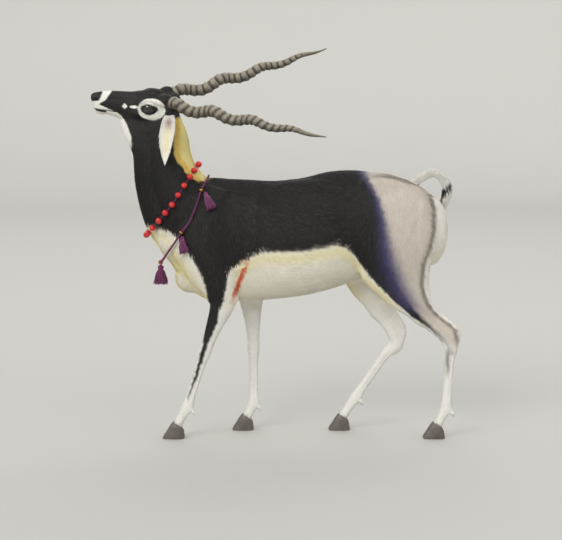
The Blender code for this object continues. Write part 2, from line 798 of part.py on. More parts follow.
def make_horn(side, name, head):
    """A ringed, corkscrew horn with a smooth tip, trimmed to its seat on the skull."""
    fine = horn_line(side, 480)
    hollow, crest = 0.87, 1.06
    width = HORN_SMOOTH_FROM / HORN_RINGS
    shares = []
    for ring in range(HORN_RINGS):
        shares += [(width * ring, hollow), (width * (ring + 0.5), crest)]
    tip = 1 - HORN_SMOOTH_FROM
    shares += [(HORN_SMOOTH_FROM + tip * t, 0.92) for t in (0.0, 0.25, 0.5, 0.75, 0.92, 1.0)]
    last = len(fine) - 1
    rings = []
    for share, swell in shares:
        radius = HORN_BASE_RADIUS * swell * (1 - 0.92 * share**2.8)
        here = round(share * last)
        ahead = fine[min(here + 4, last)] - fine[max(here - 4, 0)]
        fore = ahead.cross(Vector((0, 0, 1))).normalized()
        rings.append(oval(fine[here], fore * radius, ahead.cross(fore).normalized() * radius, 7))
    horn = skin_over(name, rings)
    horn.data.transform(HEAD)
    return trim(horn, head)


def make_ear(side, name, head, neck):
    """A long leaf-shaped ear with a hollow cup, hanging down and out from behind the cheek."""
    y = -side
    root = Vector((-0.012, y * 0.043, 0.012))
    down = Vector((0.03, y * 0.69, -0.72)).normalized()
    out = Vector((0.16, y, 0.55))
    out = (out - down * out.dot(down)).normalized()
    across = down.cross(out)
    arc_points = 5
    rings = []
    for share in (0.0, 0.08, 0.18, 0.34, 0.52, 0.70, 0.86, 0.96, 1.0):
        bend = 0.016 * math.sin(math.pi * share)
        centre = root + down * EAR_LENGTH * share + out * bend
        leaf = max(0.08, math.sin(math.pi * min(1.0, 0.14 + 0.86 * share) ** 0.85) ** 0.75)
        width = EAR_HALF_WIDTH * leaf
        cup = 0.0130 * leaf * (1 - 0.45 * share)
        wall = min(0.0030 - 0.0014 * share, 0.4 * width)
        solid = max(0.0, 1 - share / 0.18)
        back, front = [], []
        for k in range(arc_points):
            turn = math.pi * k / (arc_points - 1)
            wide, deep = -math.cos(turn), math.sin(turn)
            hollow = max(-0.6 * cup, (cup * deep - wall) * (1 - solid) - solid * cup * deep * 0.6)
            back.append(centre + across * width * wide - out * cup * deep)
            front.append(centre + across * (width - wall) * wide - out * hollow)
        rings.append(back + front[::-1])
    ear = skin_over(name, rings)
    ear.data.transform(HEAD)
    return trim(trim(ear, head), neck)


def make_hoof(leg, claw, name):
    """One claw of a cloven hoof: pointed in front, flat below, sloping back to the heel."""
    coronet = leg.points()[-1]
    half_width = 0.0116
    toe_out = math.radians(4) * claw
    frame = Matrix.Translation((coronet.x + 0.004, coronet.y + claw * (half_width + 0.0012), 0))
    frame = frame @ Matrix.Rotation(math.pi - toe_out, 4, "Z")
    levels = (
        (0.0, 0.047, 0.019, 1.00),
        (0.005, 0.0450, 0.020, 1.02),
        (0.032, 0.0235, 0.0170, 0.90),
        (0.040, 0.0150, 0.0140, 0.70),
    )
    sides = 10
    rings = []
    for height, front, back, wide in levels:
        ring = []
        for i in range(sides):
            turn = math.tau * i / sides
            reach = front if math.cos(turn) > 0 else back
            taper = 1 - 0.45 * max(0.0, math.cos(turn)) ** 2
            slope = 0.010 * math.cos(turn) * (height / 0.04)
            across = half_width * wide * math.sin(turn) * taper
            ring.append(frame @ Vector((reach * math.cos(turn), across, height + slope)))
        rings.append(ring)
    return skin_over(name, rings)


def dewclaws(leg):
    """The two small horny points behind a fetlock."""
    fetlock = leg.points()[-2]
    made = []
    for claw in (-1, 1):
        place = fetlock + Vector((0.020, claw * 0.009, -0.016))
        made.append(blob("dewclaw", place, (0.0065, 0.0045, 0.0095), -0.5, segments=6, rows=5))
    return made


def loop_path(tree, neck_line, lifts):
    """Points round the neck: rays out of a centre, in a plane bent at the sides, lifted off the skin."""
    centre, up, down = neck_line
    line = []
    for i, lift in enumerate(lifts):
        turn = math.tau * i / len(lifts)
        rise = up if math.cos(turn) >= 0 else -down
        way = (rise * math.cos(turn) - SIDEWAYS * math.sin(turn)).normalized()
        point, normal = tree.ray_cast(centre + way * 0.6, -way)[:2]
        line.append((point, normal, lift))
    count = len(line)
    eased = []
    for i in range(count):
        normal = sum((line[(i + k) % count][1] for k in (-2, -1, 0, 1, 2)), Vector()).normalized()
        eased.append(line[i][0] + normal * line[i][2])
    return eased


def lift_clear(tree, points, clearance):
    """Pushes a closed line out until the middle of each of its stretches clears the skin."""
    rounds = 8
    for _ in range(rounds):
        for i, point in enumerate(points):
            before = points[i - 1]
            middle = (before + point) / 2
            near, normal = tree.find_nearest(middle)[:2]
            short = clearance - (middle - near).dot(normal)
            if short > 0:
                points[i - 1] = before + normal * short * 0.6
                points[i] = point + normal * short * 0.6
    return points


def loop_loft(name, points, radii, sides):
    """A closed ring of a tube whose radius varies along it."""
    count = len(points)
    rings = []
    for i in range(count):
        ahead = (points[(i + 1) % count] - points[i - 1]).normalized()
        middle = sum(points, Vector()) / count
        out = points[i] - middle
        out = (out - ahead * out.dot(ahead)).normalized()
        rings.append(oval(points[i], out * radii[i], ahead.cross(out) * radii[i], sides))
    return skin_over(name, rings, closed_loop=True)


def even_points(points, count):
    """Points spaced evenly round a closed line."""
    lengths = [0.0]
    ring = points + [points[0]]
    for one, two in zip(ring, ring[1:]):
        lengths.append(lengths[-1] + (two - one).length)
    spaced = []
    for k in range(count):
        wanted = lengths[-1] * k / count
        i = next(j for j in range(1, len(lengths)) if lengths[j] >= wanted)
        part = (wanted - lengths[i - 1]) / (lengths[i] - lengths[i - 1])
        spaced.append(ring[i - 1].lerp(ring[i], part))
    return spaced, lengths[-1]


def make_beads(tree):
    """A string of round beads that hangs round the neck, as one closed body."""
    rough_count, dense_count = 120, 600
    rough = loop_path(tree, BEAD_LINE, [BEAD_RADIUS + 0.0008] * rough_count)
    lift_clear(tree, rough, BEAD_RADIUS + 0.0006)
    dense, length = even_points(rough, dense_count)
    pitch = length / BEAD_COUNT
    wide = 0.90 * BEAD_RADIUS
    profile = ((0.04, BEAD_STRING_RADIUS), (0.53, wide), (1.51, wide), (2.0, BEAD_STRING_RADIUS))
    places, radii = [], []
    for bead in range(BEAD_COUNT):
        start = (bead + 0.5) * pitch - BEAD_RADIUS
        for place, radius in profile:
            places.append(start + place * BEAD_RADIUS)
            radii.append(radius)
    points = [dense[round(place / length * dense_count) % dense_count] for place in places]
    return loop_loft("bead_string", points, radii, 6)


def make_collar(tree):
    """The twisted cord round the base of the neck, raised where it carries a ring."""
    low, high = COLLAR_RADIUS + 0.0024, RING_RADIUS + RING_WIRE + 0.0014
    turns = [side * turn for turn in RING_TURNS.values() for side in (LEFT, RIGHT)] + [FRONT_TURN]
    lifts = []
    for i in range(COLLAR_STEPS):
        here = 360 * i / COLLAR_STEPS
        away = min(abs((here - turn + 180) % 360 - 180) for turn in turns)
        hang = COLLAR_HANG * math.exp(-(((here - FRONT_TURN) / 34) ** 2))
        lifts.append(low + hang + (high - low) * math.exp(-((away / 11) ** 2)))
    points = loop_path(tree, COLLAR_LINE, lifts)
    lift_clear(tree, points, COLLAR_RADIUS + 0.0012)
    cord = loop_loft("collar_cord", points, [COLLAR_RADIUS] * COLLAR_STEPS, 5)
    return cord, points


def make_ring(name, point, ahead):
    """A brass ring threaded on the collar."""
    ahead = ahead.normalized()
    side = ahead.orthogonal().normalized()
    rings = []
    steps = 10
    for i in range(steps):
        turn = math.tau * i / steps
        out = side * math.cos(turn) + ahead.cross(side) * math.sin(turn)
        rings.append(oval(point + out * RING_RADIUS, out * RING_WIRE, ahead * RING_WIRE, 5))
    return skin_over(name, rings, closed_loop=True)


def tassel_loft(name, spine, outs, width, depth):
    """A tassel: knot, waist and a fluted skirt, along a spine of points with an outward way at each."""
    profile = ((0.0, 0.22), (0.08, 0.40), (0.22, 0.30), (0.32, 0.52), (0.60, 0.80), (1.0, 1.0))
    sides = 12
    rings = []
    for share, swell in profile:
        place = share * (len(spine) - 1)
        i = min(int(place), len(spine) - 2)
        centre = spine[i].lerp(spine[i + 1], place - i)
        out = outs[i].lerp(outs[i + 1], place - i).normalized()
        ahead = (spine[i + 1] - spine[i]).normalized()
        side = ahead.cross(out).normalized()
        flute = 0.12 if share > 0.25 else 0.0
        ring = []
        for k in range(sides):
            turn = math.tau * k / sides
            fold = 1 - flute * (k % 2)
            away = side * width * math.cos(turn) + ahead.cross(side) * depth * math.sin(turn)
            ring.append(centre + away * swell * fold)
        rings.append(ring)
    return skin_over(name, rings)


def make_side_tassel(name, tree, ring, side, hang):
    """A tassel that hangs from a ring, on the side of it that `hang` points to, against the shoulder."""
    start = ring + hang.normalized() * (RING_RADIUS + RING_WIRE + 0.3 * TASSEL_HALF_WIDTH)
    drift = 0.10 + 0.35 * max(0.0, hang.normalized().x)
    steps, clearance = 7, 0.0065
    spine, outs = [], []
    for i in range(steps + 1):
        drop = TASSEL_LENGTH * i / steps
        probe = Vector((start.x + drift * drop, side * 0.5, start.z - drop))
        point, normal = tree.ray_cast(probe, SIDEWAYS * -side)[:2]
        out = (SIDEWAYS * side).lerp(normal, 0.5).normalized()
        rest = Vector((probe.x, point.y, probe.z)) + out * (TASSEL_HALF_DEPTH + clearance)
        away = max(0.0, 1 - i / 3)
        spine.append(rest.lerp(Vector((probe.x, start.y, probe.z)), away))
        outs.append(out)
    return tassel_loft(name, spine, outs, TASSEL_HALF_WIDTH, TASSEL_HALF_DEPTH)


def make_pendant(front):
    """The full tassel that hangs from the ring at the collar's front."""
    top = front + DOWN * (RING_RADIUS + RING_WIRE + GAP)
    steps = 7
    spine = [top + DOWN * PENDANT_LENGTH * i / steps for i in range(steps + 1)]
    return tassel_loft("pendant_tassel", spine, [Vector((-1, 0, 0))] * len(spine), *PENDANT_RADII)


def make_tail(torso):
    """The short tail, curled up and over, with flat tapered locks laid along it in tiers."""
    run = smooth_run(
        (
            (0.412, 0, 0.772, 0.0150, 0.0160),
            (0.440, 0, 0.796, 0.0135, 0.0150),
            (0.470, 0, 0.811, 0.0115, 0.0130),
            (0.497, 0, 0.805, 0.0115, 0.0125),
            (0.515, 0, 0.783, 0.0120, 0.0120),
            (0.520, 0, 0.758, 0.0125, 0.0115),
            (0.517, 0, 0.735, 0.0100, 0.0090),
            (0.512, 0, 0.716, 0.0030, 0.0030),
        ),
        TAIL_STEPS,
    )
    core = limb_loft("tail", [tuple(row) for row in run], sides=8, steps=1)
    centres = [Vector(row[:3]) for row in run]
    radii = [row[3] for row in run]
    centres += [centres[-1] + DOWN * past for past in TAIL_PAST_END]
    radii += [radii[-1]] * len(TAIL_PAST_END)
    last = len(centres) - 1.01
    sunk, arch, flat = 0.72, 0.0030, 0.42
    locks = []
    for tier, (start, count) in enumerate(TAIL_TIERS):
        for k in range(count):
            turn = math.tau * (k + 0.5 * (tier % 2)) / count
            span = TAIL_LOCK_SPAN + 0.4 * ((k + tier) % 3)
            rings = []
            for share, wide in TAIL_LOCK_SHAPE:
                place = min(start + share * span, last)
                i = int(place)
                ahead = (centres[i + 1] - centres[i - 1]).normalized()
                fore = SIDEWAYS.cross(ahead).normalized()
                out = fore * math.cos(turn) + SIDEWAYS * math.sin(turn)
                base = centres[i].lerp(centres[i + 1], place - i)
                point = base + out * (radii[i] * sunk + arch * math.sin(share * 2.0))
                side = ahead.cross(out).normalized()
                rings.append(oval(point, side * wide, out * wide * flat, 4))
            locks.append(skin_over("lock", rings))
    boolean(core, locks, "UNION")
    return trim(keep_largest(core), torso)


def centre_over_floor(nodes):
    """Moves the buck sideways so that the middle of its box stands over the origin."""
    corners = [vertex.co for node in nodes for vertex in node.data.vertices]
    low = Vector(min(c[k] for c in corners) for k in range(3))
    high = Vector(max(c[k] for c in corners) for k in range(3))
    shift = Matrix.Translation(Vector((-(low.x + high.x) / 2, -(low.y + high.y) / 2, -low.z)))
    for node in nodes:
        node.data.transform(shift)


def finish(nodes, root):
    """Gives each node its material, its shading and its place under the root."""
    black = material("black_coat", BLACK_COAT, 0.62)
    grey = material("grey_coat", GREY_COAT, 0.70)
    white = material("white_coat", WHITE_COAT, 0.75)
    horn = material("horn", HORN_GREY, 0.50)
    hoof = material("hoof", HOOF_GREY, 0.45)
    eye = material("eye", EYE_BROWN, 0.08)
    bead = material("bead", BEAD_RED, 0.30)
    cord = material("cord", CORD_PURPLE, 0.75)
    brass = material("brass", BRASS, 0.30, 1.0)
    finishes = (
        ("horn", horn), ("hoof", hoof), ("eye", eye), ("bead", bead), ("ring", brass), ("collar", cord),
        ("tassel", cord), ("pendant", cord), ("tail", white), ("ear", white), ("foreleg_left_upper", black),
        ("foreleg", white), ("hindleg_left_upper", grey), ("hindleg", white), ("head", black),
        ("neck", black), ("torso", black),
    )
    for node in nodes:
        node.data.materials.clear()
        chosen = next(finish for start, finish in finishes if node.name.startswith(start))
        node.data.materials.append(chosen)
        node.data.shade_smooth()
        node.data.set_sharp_from_angle(angle=math.radians(50))
        node.parent = root


def main():
    """Builds the buck and what it wears."""
    clear_scene()
    root = bpy.data.objects.new("blackbuck", None)
    bpy.context.scene.collection.objects.link(root)

    pieces = trunk_pieces() + neck_pieces()
    for leg in FORELEGS:
        elbow, knee, fetlock, coronet = leg.points()
        pieces += shoulder_pieces(leg.side, elbow)
        pieces += foreleg_pieces(elbow, knee, fetlock, coronet)
    for leg in HINDLEGS:
        pieces += hindleg_pieces(leg.side, *leg.points())
    body = fuse("body", pieces, BODY_VOXEL, 9)
    flesh = fuse("flesh", [body, *head_pieces()], SKIN_VOXEL, 4)
    thin_out(flesh)
    skin = tree_of(flesh)
    parts = part_flesh(flesh)

    nodes = []
    for leg in FORELEGS + HINDLEGS:
        lower = leg.name + "_lower"
        claws = []
        for claw, where in ((-leg.side, "inner"), (leg.side, "outer")):
            claws.append(make_hoof(leg, claw, f"hoof_{leg.name}_{where}"))
        boolean(parts[lower], [grown(c, GAP) for c in claws], "DIFFERENCE")
        parts[lower] = keep_largest(parts[lower])
        boolean(parts[lower], dewclaws(leg), "UNION")
        nodes += claws
    for side, name in ((LEFT, "left"), (RIGHT, "right")):
        nodes.append(make_eye(side, "eye_" + name, parts["head"]))
    parts["head"] = keep_largest(cut_mouth(parts["head"]))
    for side, name in ((LEFT, "left"), (RIGHT, "right")):
        nodes.append(make_horn(side, "horn_" + name, parts["head"]))
        nodes.append(make_ear(side, "ear_" + name, parts["head"], parts["neck"]))
    nodes.append(make_tail(parts["torso"]))
    nodes.append(make_beads(skin))
    cord, line = make_collar(skin)
    nodes.append(cord)
    for level, turn in RING_TURNS.items():
        for side, name in ((LEFT, "left"), (RIGHT, "right")):
            i = round(turn / 360 * COLLAR_STEPS) * -side % COLLAR_STEPS
            ahead = line[(i + 1) % COLLAR_STEPS] - line[i - 1]
            nodes.append(make_ring(f"ring_{level}_{name}", line[i], ahead))
            hang = TASSEL_HANG[level]
            nodes.append(make_side_tassel(f"tassel_{level}_{name}", skin, line[i], side, hang))
    front = line[COLLAR_STEPS // 2]
    nodes.append(make_ring("ring_pendant", front, SIDEWAYS))
    nodes.append(make_pendant(front))
    nodes += parts.values()
    centre_over_floor(nodes)
    finish(nodes, root)


main()
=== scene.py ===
"""The looks of a standing male blackbuck that wears a string of beads and a tasselled collar.

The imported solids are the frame. One skin stands for all the flesh, and short fur lies over it in tufts.
Horns, ears, eyes, hooves and what the buck wears are pieces of their own. Metres, +Z up, facing -X.
Pieces are made about the buck's own middle plane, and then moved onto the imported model's.
"""

import json
import logging
import math
from collections.abc import Callable, Sequence
from dataclasses import dataclass
from enum import Enum

import bpy
import numpy as np
from mathutils import Matrix, Vector
from mathutils.bvhtree import BVHTree

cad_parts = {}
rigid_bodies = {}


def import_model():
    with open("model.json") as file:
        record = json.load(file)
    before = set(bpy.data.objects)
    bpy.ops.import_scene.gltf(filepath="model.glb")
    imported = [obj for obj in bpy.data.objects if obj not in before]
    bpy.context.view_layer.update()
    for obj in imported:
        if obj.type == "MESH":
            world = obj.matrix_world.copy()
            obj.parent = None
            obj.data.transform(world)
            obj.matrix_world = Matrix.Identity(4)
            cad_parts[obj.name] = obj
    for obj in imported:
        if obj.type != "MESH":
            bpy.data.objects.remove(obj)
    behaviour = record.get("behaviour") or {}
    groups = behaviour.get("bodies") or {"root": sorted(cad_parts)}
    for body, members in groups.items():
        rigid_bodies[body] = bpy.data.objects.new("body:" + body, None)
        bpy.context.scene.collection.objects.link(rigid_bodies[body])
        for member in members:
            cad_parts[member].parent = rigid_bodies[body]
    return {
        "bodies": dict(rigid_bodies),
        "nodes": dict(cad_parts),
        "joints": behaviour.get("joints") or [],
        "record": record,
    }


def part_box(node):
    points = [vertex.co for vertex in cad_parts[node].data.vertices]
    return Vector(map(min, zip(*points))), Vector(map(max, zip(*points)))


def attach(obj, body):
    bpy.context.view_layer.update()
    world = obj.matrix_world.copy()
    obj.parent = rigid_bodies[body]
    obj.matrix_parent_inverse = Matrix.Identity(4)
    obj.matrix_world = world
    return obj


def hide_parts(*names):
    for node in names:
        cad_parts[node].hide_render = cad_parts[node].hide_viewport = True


Piece = bpy.types.Object
Rows = np.ndarray
Tone = tuple[float, float, float]
Spot = tuple[float, float, float]

BODY = "root"
TONES = "coat_tones"
BAKE_MAP = "OFBake"
PATCH = 0.003
log = logging.getLogger("blackbuck")


class Side(Enum):
    """A side of the buck, as the sign of Y on it."""

    LEFT = -1
    RIGHT = 1

    @property
    def word(self) -> str:
        """The side's name in lower case."""
        return self.name.lower()


def tone(red: float, green: float, blue: float) -> Tone:
    """A linear colour from its screen values, 0 to 255."""
    shares = (red / 255, green / 255, blue / 255)
    return tuple(s / 12.92 if s <= 0.04045 else ((s + 0.055) / 1.055) ** 2.4 for s in shares)


@dataclass(frozen=True)
class CoatTones:
    """The colours of the coat, and of the bare skin that shows in it."""

    black: Tone = tone(30, 29, 27)
    violet: Tone = tone(72, 66, 108)
    grey: Tone = tone(212, 202, 190)
    dusk: Tone = tone(112, 104, 88)
    white: Tone = tone(246, 243, 235)
    cream: Tone = tone(242, 232, 184)
    gold: Tone = tone(250, 235, 156)
    amber: Tone = tone(236, 194, 86)
    rufous: Tone = tone(212, 82, 38)
    bare: Tone = tone(24, 21, 21)
    mauve: Tone = tone(150, 122, 132)


# The buck's own measures, in metres about its middle plane.
HEAD_JOINT = Vector((-0.338, 0.0, 1.000))
HEAD_PITCH = math.radians(3)
HEAD_ROLL = math.radians(25)
HEAD = (
    Matrix.Translation(HEAD_JOINT)
    @ Matrix.Rotation(math.pi, 4, "Z")
    @ Matrix.Rotation(-HEAD_PITCH, 4, "Y")
    @ Matrix.Rotation(-HEAD_ROLL, 4, "X")
)
HEAD_TURN = np.array(HEAD.to_3x3())
HEAD_HEIGHT = 0.80
LEGS_TOP = 0.40
EYE_RADIUS = 0.0205
EYE_CENTRE = (0.052, 0.0322, 0.028)
JOINTS_OUT = (0.082, 0.079, 0.075, 0.072, 0.070)
TAIL_RUN = (
    (0.412, 0, 0.772, 0.0150, 0.0160),
    (0.440, 0, 0.796, 0.0135, 0.0150),
    (0.470, 0, 0.811, 0.0115, 0.0130),
    (0.497, 0, 0.805, 0.0115, 0.0125),
    (0.515, 0, 0.783, 0.0120, 0.0120),
    (0.520, 0, 0.758, 0.0125, 0.0115),
    (0.517, 0, 0.735, 0.0100, 0.0090),
    (0.512, 0, 0.716, 0.0030, 0.0030),
)


@dataclass(frozen=True)
class Leg:
    """One leg's joints from the body down, each as (x, z)."""

    name: str
    side: Side
    joints: tuple[tuple[float, float], ...]

    def points(self) -> Rows:
        """The joints as rows of x, y and z, a little further in towards the foot."""
        outs = JOINTS_OUT[-len(self.joints) :]
        return np.array([(x, self.side.value * out, z) for (x, z), out in zip(self.joints, outs)])


FORELEGS = (
    Leg("foreleg_left", Side.LEFT, ((-0.166, 0.425), (-0.222, 0.264), (-0.276, 0.098), (-0.309, 0.036))),
    Leg("foreleg_right", Side.RIGHT, ((-0.080, 0.425), (-0.074, 0.258), (-0.074, 0.086), (-0.098, 0.034))),
)
HINDLEGS = (
    Leg(
        "hindleg_left",
        Side.LEFT,
        ((0.345, 0.745), (0.300, 0.505), (0.532, 0.302), (0.520, 0.094), (0.492, 0.036)),
    ),
    Leg(
        "hindleg_right",
        Side.RIGHT,
        ((0.330, 0.745), (0.232, 0.515), (0.376, 0.290), (0.247, 0.104), (0.205, 0.038)),
    ),
)
FLESH = ("head", "neck", "torso") + tuple(
    f"{leg.name}_{part}" for leg in FORELEGS + HINDLEGS for part in ("upper", "lower")
)


def to_head(points: Rows) -> Rows:
    """Turns points about the middle plane into the head's frame: x to the nose, y left, z up."""
    return (points - np.array(HEAD_JOINT)) @ HEAD_TURN


def from_head(points: Rows) -> Rows:
    """Turns points of the head's frame into points about the middle plane."""
    return points @ HEAD_TURN.T + np.array(HEAD_JOINT)


def unit(rows: Rows) -> Rows:
    """Rows scaled to length one."""
    return rows / np.maximum(np.linalg.norm(rows, axis=-1, keepdims=True), 1e-12)


def flat_on(normals: Rows, ways: Rows) -> Rows:
    """Unit ways at a right angle to the normals beside them."""
    return unit(ways - normals * np.sum(ways * normals, axis=1, keepdims=True))


def turns_round(sides: int) -> Rows:
    """The turns of so many even steps round a circle."""
    return np.arange(sides) * math.tau / sides


def soft(distance: Rows, width: float) -> Rows:
    """A smooth step from 0 to 1 across a border that is so wide on either side."""
    share = np.clip(distance / (2 * width) + 0.5, 0, 1)
    return share * share * (3 - 2 * share)


def between(values: Rows, low: float, high: float, low_edge: float, high_edge: float) -> Rows:
    """A mask of the values from one end to another, each end so wide on either side."""
    return soft(values - low, low_edge) * soft(high - values, high_edge)


def bell(distance: Rows, width: float) -> Rows:
    """A smooth hump of height 1 that falls away over a width."""
    return np.exp(-((distance / width) ** 2))


def ripple(points: Rows, size: float, seed: int) -> Rows:
    """A smooth wander between about -1 and 1 over space, with waves of about one size."""
    draw = np.random.default_rng(seed)
    waves = 7
    total = np.zeros(len(points))
    for _ in range(waves):
        way = unit(draw.normal(size=3)) * math.tau / size
        total += np.sin(points @ way + draw.uniform(0, math.tau))
    return total / math.sqrt(2 * waves)


def smooth_run(stations: Sequence[Sequence[float]], steps: int) -> Rows:
    """Catmull-Rom rows through rows of numbers, with so many steps between each pair."""
    rows = np.array(stations, float)
    ends = np.vstack([2 * rows[0] - rows[1], rows, 2 * rows[-1] - rows[-2]])
    run = []
    for i in range(len(rows) - 1):
        a, b, c, d = ends[i : i + 4]
        for t in np.arange(steps) / steps:
            bend = (2 * a - 5 * b + 4 * c - d) * t**2 + (3 * b - a - 3 * c + d) * t**3
            run.append(0.5 * (2 * b + (c - a) * t + bend))
    return np.array(run + [rows[-1]])


def rows_of(items: bpy.types.bpy_prop_collection, key: str) -> Rows:
    """Three numbers of each item of a mesh, as rows.

    Args:
        items: The mesh's vertices or their normals.
        key: What the three numbers are called there.

    Returns:
        One row for each item.
    """
    flat = np.empty(len(items) * 3, np.float32)
    items.foreach_get(key, flat)
    return flat.reshape(-1, 3).astype(float)


def points_of(mesh: bpy.types.Mesh) -> Rows:
    """A mesh's vertices as rows."""
    return rows_of(mesh.vertices, "co")


def normals_of(mesh: bpy.types.Mesh) -> Rows:
    """A mesh's vertex normals as rows."""
    return rows_of(mesh.vertex_normals, "vector")


def set_points(mesh: bpy.types.Mesh, points: Rows) -> None:
    """Moves a mesh's vertices to rows of points."""
    mesh.vertices.foreach_set("co", points.astype(np.float32).ravel())
    mesh.update()


def tree_of(mesh: bpy.types.Mesh) -> BVHTree:
    """A search tree over a mesh."""
    return BVHTree.FromPolygons([v.co for v in mesh.vertices], [p.vertices for p in mesh.polygons])


def select(items: Sequence[Piece]) -> None:
    """Selects only these objects and makes the first one active."""
    bpy.ops.object.select_all(action="DESELECT")
    for item in items:
        item.select_set(True)
    bpy.context.view_layer.objects.active = items[0]


def in_edit_mode(item: Piece, *steps: Callable[[], object]) -> None:
    """Runs edit-mode steps on an object with all its faces selected."""
    select([item])
    bpy.ops.object.mode_set(mode="EDIT")
    bpy.ops.mesh.select_all(action="SELECT")
    for step in steps:
        step()
    bpy.ops.object.mode_set(mode="OBJECT")


def apply_modifier(item: Piece, kind: str, **values: object) -> None:
    """Adds a modifier with its values and makes it part of the mesh."""
    select([item])
    step = item.modifiers.new(kind.title(), kind)
    for name, value in values.items():
        setattr(step, name, value)
    bpy.ops.object.modifier_apply(modifier=step.name)


def joined(name: str, items: Sequence[Piece]) -> Piece:
    """Joins objects into the first one, under a name."""
    select(items)
    if len(items) > 1:
        bpy.ops.object.join()
    items[0].name = name
    return items[0]


def placed(name: str, data: bpy.types.ID) -> Piece:
    """A new object in the scene, from a mesh, a lamp or a camera.

    Args:
        name: The object's name.
        data: What it shows.

    Returns:
        The object, at the origin.
    """
    made = bpy.data.objects.new(name, data)
    bpy.context.scene.collection.objects.link(made)
    return made


def round_ball(segments: int, rings: int, radius: float) -> Piece:
    """A ball at the origin, as the start of a piece."""
    bpy.ops.mesh.primitive_uv_sphere_add(segments=segments, ring_count=rings, radius=radius)
    return bpy.context.object


def mesh_from(name: str, points: Rows, faces: Rows) -> Piece:
    """An object from arrays of points and of faces that all have the same number of corners."""
    mesh = bpy.data.meshes.new(name)
    mesh.vertices.add(len(points))
    mesh.vertices.foreach_set("co", points.astype(np.float32).ravel())
    mesh.loops.add(faces.size)
    mesh.loops.foreach_set("vertex_index", faces.astype(np.int32).ravel())
    mesh.polygons.add(len(faces))
    mesh.polygons.foreach_set("loop_start", np.arange(0, faces.size, faces.shape[1], dtype=np.int32))
    mesh.update(calc_edges=True)
    return placed(name, mesh)


def swept(name: str, rings: Rows, filled: bool = True) -> Piece:
    """Lays a grid over rings of points, closes its seam and fills its ends.

    Args:
        name: The new object's name.
        rings: Points as (rings, sides, 3). A last ring that lies on the first closes a loop.
        filled: Whether open ends are filled.

    Returns:
        The new object, with its faces turned outwards.
    """
    steps, sides = rings.shape[:2]
    bpy.ops.mesh.primitive_grid_add(x_subdivisions=sides, y_subdivisions=steps - 1, size=2)
    item = bpy.context.object
    item.name = name
    flat = points_of(item.data)
    column = np.rint((flat[:, 0] + 1) / 2 * sides).astype(int) % sides
    row = np.rint((flat[:, 1] + 1) / 2 * (steps - 1)).astype(int)
    set_points(item.data, rings[row, column])
    finest = 1e-7
    steps_done = [lambda: bpy.ops.mesh.remove_doubles(threshold=finest)]
    if filled:
        steps_done.append(lambda: bpy.ops.mesh.fill_holes(sides=0))
    steps_done.append(lambda: bpy.ops.mesh.normals_make_consistent(inside=False))
    in_edit_mode(item, *steps_done)
    return item


def section(centres: Rows, fore: Rows, side: Rows, turns: Rows) -> Rows:
    """Rings of points round centres, from two radius vectors at each and the turns round them."""
    return centres[:, None] + fore[:, None] * np.cos(turns)[:, None] + side[:, None] * np.sin(turns)[:, None]


def frames_along(centres: Rows, up: Sequence[float], loop: bool = False) -> tuple[Rows, Rows, Rows]:
    """Ways ahead, across and over for each point of a line, kept upright by a vector."""
    if loop:
        ahead = unit(np.roll(centres, -1, 0) - np.roll(centres, 1, 0))
    else:
        ahead = unit(np.gradient(centres, axis=0))
    across = unit(np.cross(ahead, np.array(up, float)))
    return ahead, across, np.cross(ahead, across)


def closed_frames(line: Rows) -> tuple[Rows, Rows]:
    """Ways across and over for each point of a closed line round the neck."""
    _, across, over = frames_along(line, (1, 0, 0.2))
    across[-1], over[-1] = across[0], over[0]
    return across, over


def paint(item: Piece, tones: Rows) -> None:
    """Stores a colour for each vertex, from rows of linear red, green and blue."""
    layer = item.data.color_attributes.new(name=TONES, type="FLOAT_COLOR", domain="POINT")
    filled = np.ones((len(tones), 4), np.float32)
    filled[:, :3] = tones
    layer.data.foreach_set("color", filled.ravel())


def blend_tones(base: Rows, other: Tone, mask: Rows) -> Rows:
    """Lays a colour over rows of colours where a mask is near one."""
    return base + (np.array(other) - base) * mask[:, None]


def add_node(
    tree: bpy.types.NodeTree, kind: str, inputs: dict | None = None, **settings: object
) -> bpy.types.Node:
    """Places a shader node, with values or links for its inputs."""
    node = tree.nodes.new("ShaderNode" + kind)
    for name, value in settings.items():
        setattr(node, name, value)
    feed(node, inputs or {})
    return node


def feed(node: bpy.types.Node, inputs: dict) -> None:
    """Sets a node's inputs, and links those that are given as another node's socket."""
    for name, value in inputs.items():
        if isinstance(value, bpy.types.NodeSocket):
            node.id_data.links.new(value, node.inputs[name])
        else:
            node.inputs[name].default_value = value


def mixed(
    tree: bpy.types.NodeTree, factor: object, one: object, two: object, blend: str = "MIX"
) -> bpy.types.NodeSocket:
    """A colour mixed from two, by a factor."""
    factor_in, one_in, two_in, colour_out = 0, 6, 7, 2
    inputs = {factor_in: factor, one_in: one, two_in: two}
    node = add_node(tree, "Mix", inputs, data_type="RGBA", blend_type=blend)
    return node.outputs[colour_out]


